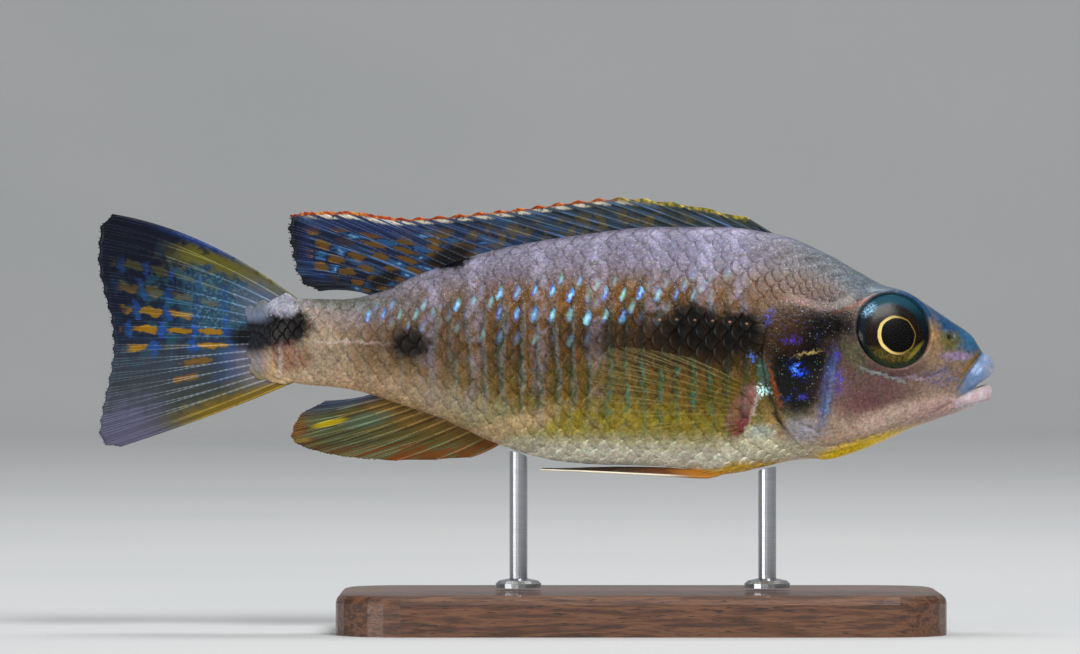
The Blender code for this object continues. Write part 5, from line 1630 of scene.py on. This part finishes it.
def dorsal_colours(graph, fin):
    """Slate blue streaks among the spines, ochre and blue spots behind, and an orange margin over cream."""
    ray, share, margin, place = fin["ray"], fin["share"], fin["margin"], fin["place"]
    ragged = graph.scaled(graph.noise(place, 0.8, 3.0, 0.7), 2.0, -1.0)
    line = graph.plus(ray, ragged)
    frayed = graph.noise(place, 1.1, 3.0, 0.65)
    axes = {**fin, "line": line, "part": graph.math("FRACT", ray), "x": graph.part(place, 0),
            "mottled": ray_streaks(graph, ray, share, 2.6, 1.6), "blotch": graph.noise(place, 0.5, 4.0, 0.7),
            "frayed": frayed, "level": graph.scaled(frayed, 0.9, graph.minus(margin, 0.45))}
    colour = graph.blend(graph.over(line, 27.0), [
        (0.0, "343c34"), (0.15, "2c383c"), (0.35, "283848"), (0.55, "18284a"),
        (0.75, "101c38"), (1.0, "0a0e1c")])
    colour = zones_over(graph, colour, axes, DORSAL_GROUND)
    row = graph.math("FLOOR", ray)
    phase = graph.plus(graph.scaled(share, 4.2, graph.times(row, 0.46)), graph.times(ragged, 0.1))
    area = graph.times(graph.rise(line, 12.0, 17.0), graph.rise(margin, 1.3, 2.4))
    for centre, halves, keep, tone in (
            (0.25, (0.42, 0.25), 0.85, "60440e"), (0.75, (0.42, 0.19), 0.65, "24507c"),
            (0.75, (0.18, 0.08), 0.25, "6c9cc0")):
        spots = cell_spots(graph, ray, phase, centre, halves, keep)
        colour = graph.lay(colour, tone, area, spots, 0.9)
    colour = zones_over(graph, colour, axes, DORSAL_ENDS)
    colour = patches_over(graph, fin, colour, (
        ((-23.4, 45.9), (2.9, 1.1), -20, 0.96, "030203"), ((-31.5, 43.1), (2.1, 0.8), -22, 0.96, "030203")))
    colour = zones_over(graph, colour, axes, DORSAL_DASHES)
    orange = graph.blend(graph.noise(place, 1.2, 2.0), [
        (0.35, "742408"), (0.52, "a0420e"), (0.68, "c08c38")])
    gold = graph.blend(graph.noise(place, 1.5, 2.0), [(0.4, "5c6028"), (0.6, "b8a040")])
    return zones_over(graph, colour, axes, (
        (orange, 1.0, ("margin", 0.55, 0.35), ("ray", 3.0, 5.5), ("ray", 21.4, 20.4)),
        (gold, 1.0, ("margin", 0.75, 0.4), ("ray", 5.5, 3.0))))


def anal_colours(graph, fin):
    """Olive with rusty rays, orange-red towards the front and one bright yellow streak."""
    ray, share = fin["ray"], fin["share"]
    reach = graph.plus(share, graph.scaled(graph.noise(fin["place"], 0.8, 3.0, 0.7), 0.5, -0.25))
    mottled = ray_streaks(graph, ray, share, 3.2, 1.6)
    colour = graph.blend(reach, [(0.0, "8c7048"), (0.2, "6a5020"), (0.45, "54481c"),
                                 (0.75, "444628"), (1.0, "56380f")])
    axes = {"part": graph.math("FRACT", ray), "mottled": mottled, "reach": reach}
    colour = zones_over(graph, colour, axes, ANAL_GROUND)
    low_edge = graph.rise(graph.scaled(mottled, 1.8, fin["margin"]), 3.6, 1.8)
    low_edge = graph.math("MAXIMUM", low_edge, graph.rise(ray, 1.6, 0.4))
    red = graph.times(graph.rise(ray, 5.4, 3.2), low_edge, graph.rise(mottled, 0.62, 0.46))
    colour = graph.lay(colour, "784010", red, 0.8)
    colour = graph.lay(colour, "2c3a54", graph.rise(ray, 9.4, 10.6), 0.75)
    return patches_over(graph, fin, colour, (
        ((-33.4, 25.9), (3.0, 0.9), -12, 0.3, "4a7468"), ((-38.1, 25.5), (2.1, 0.32), -13, 1.0, "b09a0c"),
        ((-41.6, 23.4), (1.2, 0.3), 0, 0.6, "7c6414"), ((-42.2, 25.1), (1.3, 1.5), 0, 0.6, "6c4410")))


def pelvic_colours(graph, fin):
    """Golden at the root, brown along its length, with a white leading edge."""
    share = fin["share"]
    colour = graph.blend(share, [(0.0, "d09c28"), (0.2, "a06818"), (0.4, "5c3010"),
                                 (0.6, "34200f"), (1.0, "1c1a14")])
    return graph.lay(colour, "c4bca8", graph.rise(fin["ray"], 0.5, 0.15), graph.rise(share, 0.25, 0.45))


def pectoral_colours(graph, fin):
    return graph.blend(fin["share"], [(0.0, "7c5c48"), (0.2, "8c7c34"), (1.0, "a89c68")])


def make_fins(groups):
    groups["fin rays"] = fin_shade_group()
    caudal = fin_material("tail_fin_skin", groups, caudal_colours, ray_light=0.05, pale_rays=(8.6, 15.4))
    dorsal = fin_material("dorsal_fin_skin", groups, dorsal_colours)
    anal = fin_material("anal_fin_skin", groups, anal_colours)
    pelvic = fin_material("pelvic_fin_skin", groups, pelvic_colours)
    clear = fin_material("clear_fin_skin", groups, pectoral_colours, ray_light=0.0, alpha=0.02,
                         ray_alpha=0.13)
    make_fin("caudal_fin", caudal_ray, CAUDAL_RAYS, caudal, notch=0.5, ray_size=0.165)
    make_fin("dorsal_fin", dorsal_ray, DORSAL_RAYS, dorsal, spines=DORSAL_SPINES, notch=0.75, ray_size=0.19)
    make_fin("anal_fin", anal_ray, ANAL_RAYS, anal, spines=3, notch=0.35, ray_size=0.19)
    for side, name in ((1, "left"), (-1, "right")):
        make_fin(f"pectoral_fin_{name}", pectoral_ray(side), PECTORAL_RAYS, clear, notch=0.3,
                 thick=(0.12, 0.05), ray_size=0.1)
        make_fin(f"pelvic_fin_{name}", pelvic_ray(side), PELVIC_RAYS, pelvic, spines=1, notch=0.2,
                 thick=(0.2, 0.1), ray_size=0.18)


def dome(frame, radius, rise, base, rings=36, spokes=96):
    """Points and faces of a shallow dome, closed by a low cone behind, and each point's place on it."""
    centre, forward, upward, out = frame
    points, flat = [centre + out * (base + rise)], [(0.0, 0.0)]
    for ring in range(1, rings + 1):
        share = ring / rings
        # The last term brings the rim down to the base.
        height = base + rise * math.sqrt(1 - share ** 2 * 0.96) - rise * 0.2 * share ** 6
        for k in range(spokes):
            turn = FULL_TURN * k / spokes
            a, b = radius * share * math.cos(turn), radius * share * math.sin(turn)
            points.append(centre + forward * a + upward * b + out * height)
            flat.append((a, b))
    faces = disc_faces(rings, spokes)
    last = 1 + (rings - 1) * spokes
    low_centre = len(points)
    points.append(centre + out * (base - EYE_BACK))
    flat.append((0.0, 0.0))
    faces += [(low_centre, last + (k + 1) % spokes, last + k) for k in range(spokes)]
    return np.array(points), faces, np.array(flat)


def iris_material(groups):
    material, graph, shader = new_material("painted_iris")
    a, b = graph.value_of("eye_ahead"), graph.value_of("eye_up")
    place = graph.vector(a, 0.0, b)
    from_middle = graph.vector_math("LENGTH", place)
    away = graph.vector_math("SUBTRACT", place, (PUPIL_SHIFT[0], 0, PUPIL_SHIFT[1]))
    from_pupil = graph.vector_math("LENGTH", away)
    wobble = graph.scaled(graph.noise(place, 0.7, 2.0), 0.3, -0.15)
    ring = graph.plus(from_pupil, wobble)
    fibre = graph.noise(place, 2.6, 4.0, 0.7)
    colour = graph.blend(fibre, [(0.3, "050301"), (0.5, "100803"), (0.7, "2c1a0a")])
    low = graph.times(graph.rise(b, -1.6, -3.0), graph.rise(from_middle, 4.4, 3.7))
    low_gold = graph.blend(fibre, [(0.35, "3c3410"), (0.6, "a08c30")])
    colour = graph.lay(colour, low_gold, low, 0.28)
    teal = graph.blend(graph.scaled(b, 0.11, 0.5), [
        (0.0, "20301c"), (0.3, "040a0c"), (0.6, "05141e"), (1.0, "184858")])
    outer = graph.rise(graph.plus(from_middle, graph.times(b, 0.12)), 3.3, 3.9)
    colour = graph.mix(outer, colour, teal)
    # Painted highlight: a pale blue glint at the upper rear of the eye's outer ring.
    painted_glint_place = patch_mask(graph, groups["patch"], place, (-2.9, 2.6), (1.0, 0.55), -42, 0.5)
    painted_glint = graph.times(painted_glint_place, graph.rise(graph.noise(place, 4.0, 3.0, 0.8), 0.42, 0.6))
    colour = graph.mix(painted_glint, colour, "9cc8e8")
    crescent = patch_mask(graph, groups["patch"], place, (2.6, -2.6), (1.5, 0.26), -46, 0.5)
    colour = graph.lay(colour, "948a30", crescent, 0.5)
    width = graph.scaled(a, -0.06, 2.38)
    gold = graph.times(graph.rise(ring, graph.plus(width, 0.12), width), graph.rise(ring, 2.05, 2.2))
    gold_tone = graph.blend(graph.scaled(a, -0.2, 0.35), [(0.0, "7c6428"), (0.6, "dcc478")])
    colour = graph.mix(gold, colour, gold_tone)
    colour = graph.mix(graph.rise(ring, 2.2, 2.1), colour, "020202")
    graph.look(shader, colour=colour, metallic=graph.times(gold, 0.5), roughness=0.4, specular=0.05)
    set_bump(graph, shader, graph.times(fibre, graph.rise(ring, 2.2, 2.6), 0.06))
    return material


def cornea_material():
    """A clear shell that only adds its own reflections."""
    material, graph, shader = new_material("clear_cornea")
    fresnel = graph.node("Fresnel", {"IOR": 1.38}).outputs[0]
    graph.look(shader, colour="ffffff", metallic=1.0, roughness=0.2, alpha=graph.times(fresnel, 0.35))
    return material


def make_eyes(groups):
    iris, cornea = iris_material(groups), cornea_material()
    for side, name in ((1, "left"), (-1, "right")):
        frame = eye_frame(side)
        points, faces, flat = dome(frame, EYE_OUTER, IRIS_RISE, base=-0.6)
        ball = mesh_piece(f"iris_{name}", points, faces, iris)
        turn_out(ball)
        ball.data.shade_smooth()
        point_values(ball, "eye_ahead", flat[:, 0])
        point_values(ball, "eye_up", flat[:, 1])
        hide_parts(f"eye_{name}")
        points, faces, _ = dome(frame, EYE_OUTER - 0.02, CORNEA_RISE, base=-0.35, rings=20, spokes=72)
        shell = mesh_piece(f"cornea_{name}", points, faces, cornea)
        turn_out(shell)
        shell.data.shade_smooth()
        for piece in (ball, shell):
            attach(piece, "root")


def wood_material():
    material, graph, shader = new_material("oiled_walnut")
    place = graph.place()
    stretched = graph.stretched(place, (0.05, 0.5, 0.6))
    grain = graph.noise(stretched, 1.2, 5.0, 0.6)
    rings = graph.math("SINE", graph.times(grain, 28.0))
    tone = graph.scaled(rings, 0.22, 0.5)
    pores = graph.noise(graph.stretched(place, (0.4, 4.0, 4.0)), 1.4, 2.0)
    colour = graph.blend(tone, [(0.2, "3a2214"), (0.5, "553320"), (0.85, "704a30")])
    colour = graph.mix(graph.rise(pores, 0.6, 0.7), colour, "22130a")
    graph.look(shader, colour=colour, roughness=graph.scaled(pores, 0.3, 0.3), coat=0.25)
    set_bump(graph, shader, graph.times(pores, 0.04))
    return material


def steel_material():
    material, graph, shader = new_material("brushed_steel")
    brushed = graph.noise(graph.stretched(graph.place(), (0.4, 0.4, 9)), 1.0, 2.0)
    colour = graph.blend(brushed, [(0.2, "a8aaae"), (0.8, "b8babe")])
    graph.look(shader, colour=colour, roughness=graph.scaled(brushed, 0.08, 0.26), metallic=1.0)
    return material


# The picture's size in pixels, the pixel where x and z are 0, and the size of a pixel at the fish.
PHOTO_SIZE = (1080, 654)
PHOTO_ORIGIN = (640, 631)
MM_PER_PIXEL = 0.12263


def make_camera():
    distance = 900.0
    width = PHOTO_SIZE[0] * MM_PER_PIXEL
    data = bpy.data.cameras.new("camera")
    data.lens = data.sensor_width * distance / width
    data.clip_start = 0.02
    data.clip_end = 20
    camera = bpy.data.objects.new("camera", data)
    bpy.context.scene.collection.objects.link(camera)
    across, up = PHOTO_SIZE[0] / 2 - PHOTO_ORIGIN[0], PHOTO_ORIGIN[1] - PHOTO_SIZE[1] / 2
    camera.location = Vector((across * MM_PER_PIXEL, -distance, up * MM_PER_PIXEL)) * MM
    camera.rotation_euler = (math.pi / 2, 0, 0)
    bpy.context.scene.camera = camera
    bpy.context.scene.view_settings.view_transform = "Standard"


# Soft lights: name, place, what each one faces, width and height, all in metres, and power in watts.
MIDDLE = (0, 0, 0.035)
LIGHTS = [("key_light", (0.3, -0.7, 0.75), MIDDLE, (0.45, 0.35), 10),
          ("fill_light", (-0.6, -0.7, 0.1), MIDDLE, (0.4, 0.3), 4),
          ("top_light", (0.0, 0.3, 0.9), MIDDLE, (0.6, 0.3), 5),
          ("backdrop_light", (0.0, 0.9, 1.6), (0.0, 2.2, 0.4), (2.2, 0.5), 14)]


def soft_light(name, place, target, size, power):
    data = bpy.data.lights.new(name, "AREA")
    data.shape = "RECTANGLE"
    data.size, data.size_y = size
    data.energy = power
    light = bpy.data.objects.new(name, data)
    light.location = Vector(place)
    light.rotation_euler = (Vector(target) - Vector(place)).to_track_quat("-Z", "Y").to_euler()
    bpy.context.scene.collection.objects.link(light)


def make_studio():
    """A round sheet of pale paper that curves up into a wall, and its lights."""
    flat, bend, top, sides = 1.6, 0.8, 2.6, 96
    turns = np.linspace(0.1, math.pi / 2, 16)
    curve = [(flat + bend * math.sin(turn), bend - bend * math.cos(turn)) for turn in turns]
    profile = [(0.0, 0.0), (flat, 0.0), *curve, (flat + bend, top)]
    points = [(0, 0, 0)]
    for radius, height in profile[1:]:
        for k in range(sides):
            turn = FULL_TURN * k / sides
            points.append((radius * math.cos(turn) / MM, radius * math.sin(turn) / MM, height / MM))
    material, graph, shader = new_material("studio_paper")
    tone = graph.noise(graph.place(), 0.004, 2.0)
    colour = graph.blend(tone, [(0.3, "bcbebf"), (0.7, "c2c2c2")])
    graph.look(shader, colour=colour, roughness=0.9, specular=0.1)
    floor = mesh_piece("studio_floor", points, disc_faces(len(profile) - 1, sides), material)
    world = bpy.data.worlds.new("studio_world")
    bpy.context.scene.world = world
    world.use_nodes = True
    background = world.node_tree.nodes["Background"].inputs
    background["Color"].default_value = (0.9, 0.95, 1.0, 1)
    background["Strength"].default_value = 0.2
    for light in LIGHTS:
        soft_light(*light)


def main():
    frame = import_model()
    groups = {"patch": soft_patch_group(), "grain": grain_group()}
    groups["markings"] = markings_group(groups["patch"])
    skin = make_skin(skin_material(groups))
    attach(skin, "root")
    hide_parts("head", "gill_cover_left", "gill_cover_right", "trunk", "tail_stalk")
    coat = scale_material(groups)
    for side in (1, -1):
        scales = make_scales(side, coat)
        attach(scales, "root")
    make_fins(groups)
    make_eyes(groups)
    wood, steel = wood_material(), steel_material()
    for name, material in (("stand_base", wood), ("stand_rod_front", steel), ("stand_rod_rear", steel)):
        frame["nodes"][name].data.materials.clear()
        frame["nodes"][name].data.materials.append(material)
    make_studio()
    make_camera()


main()
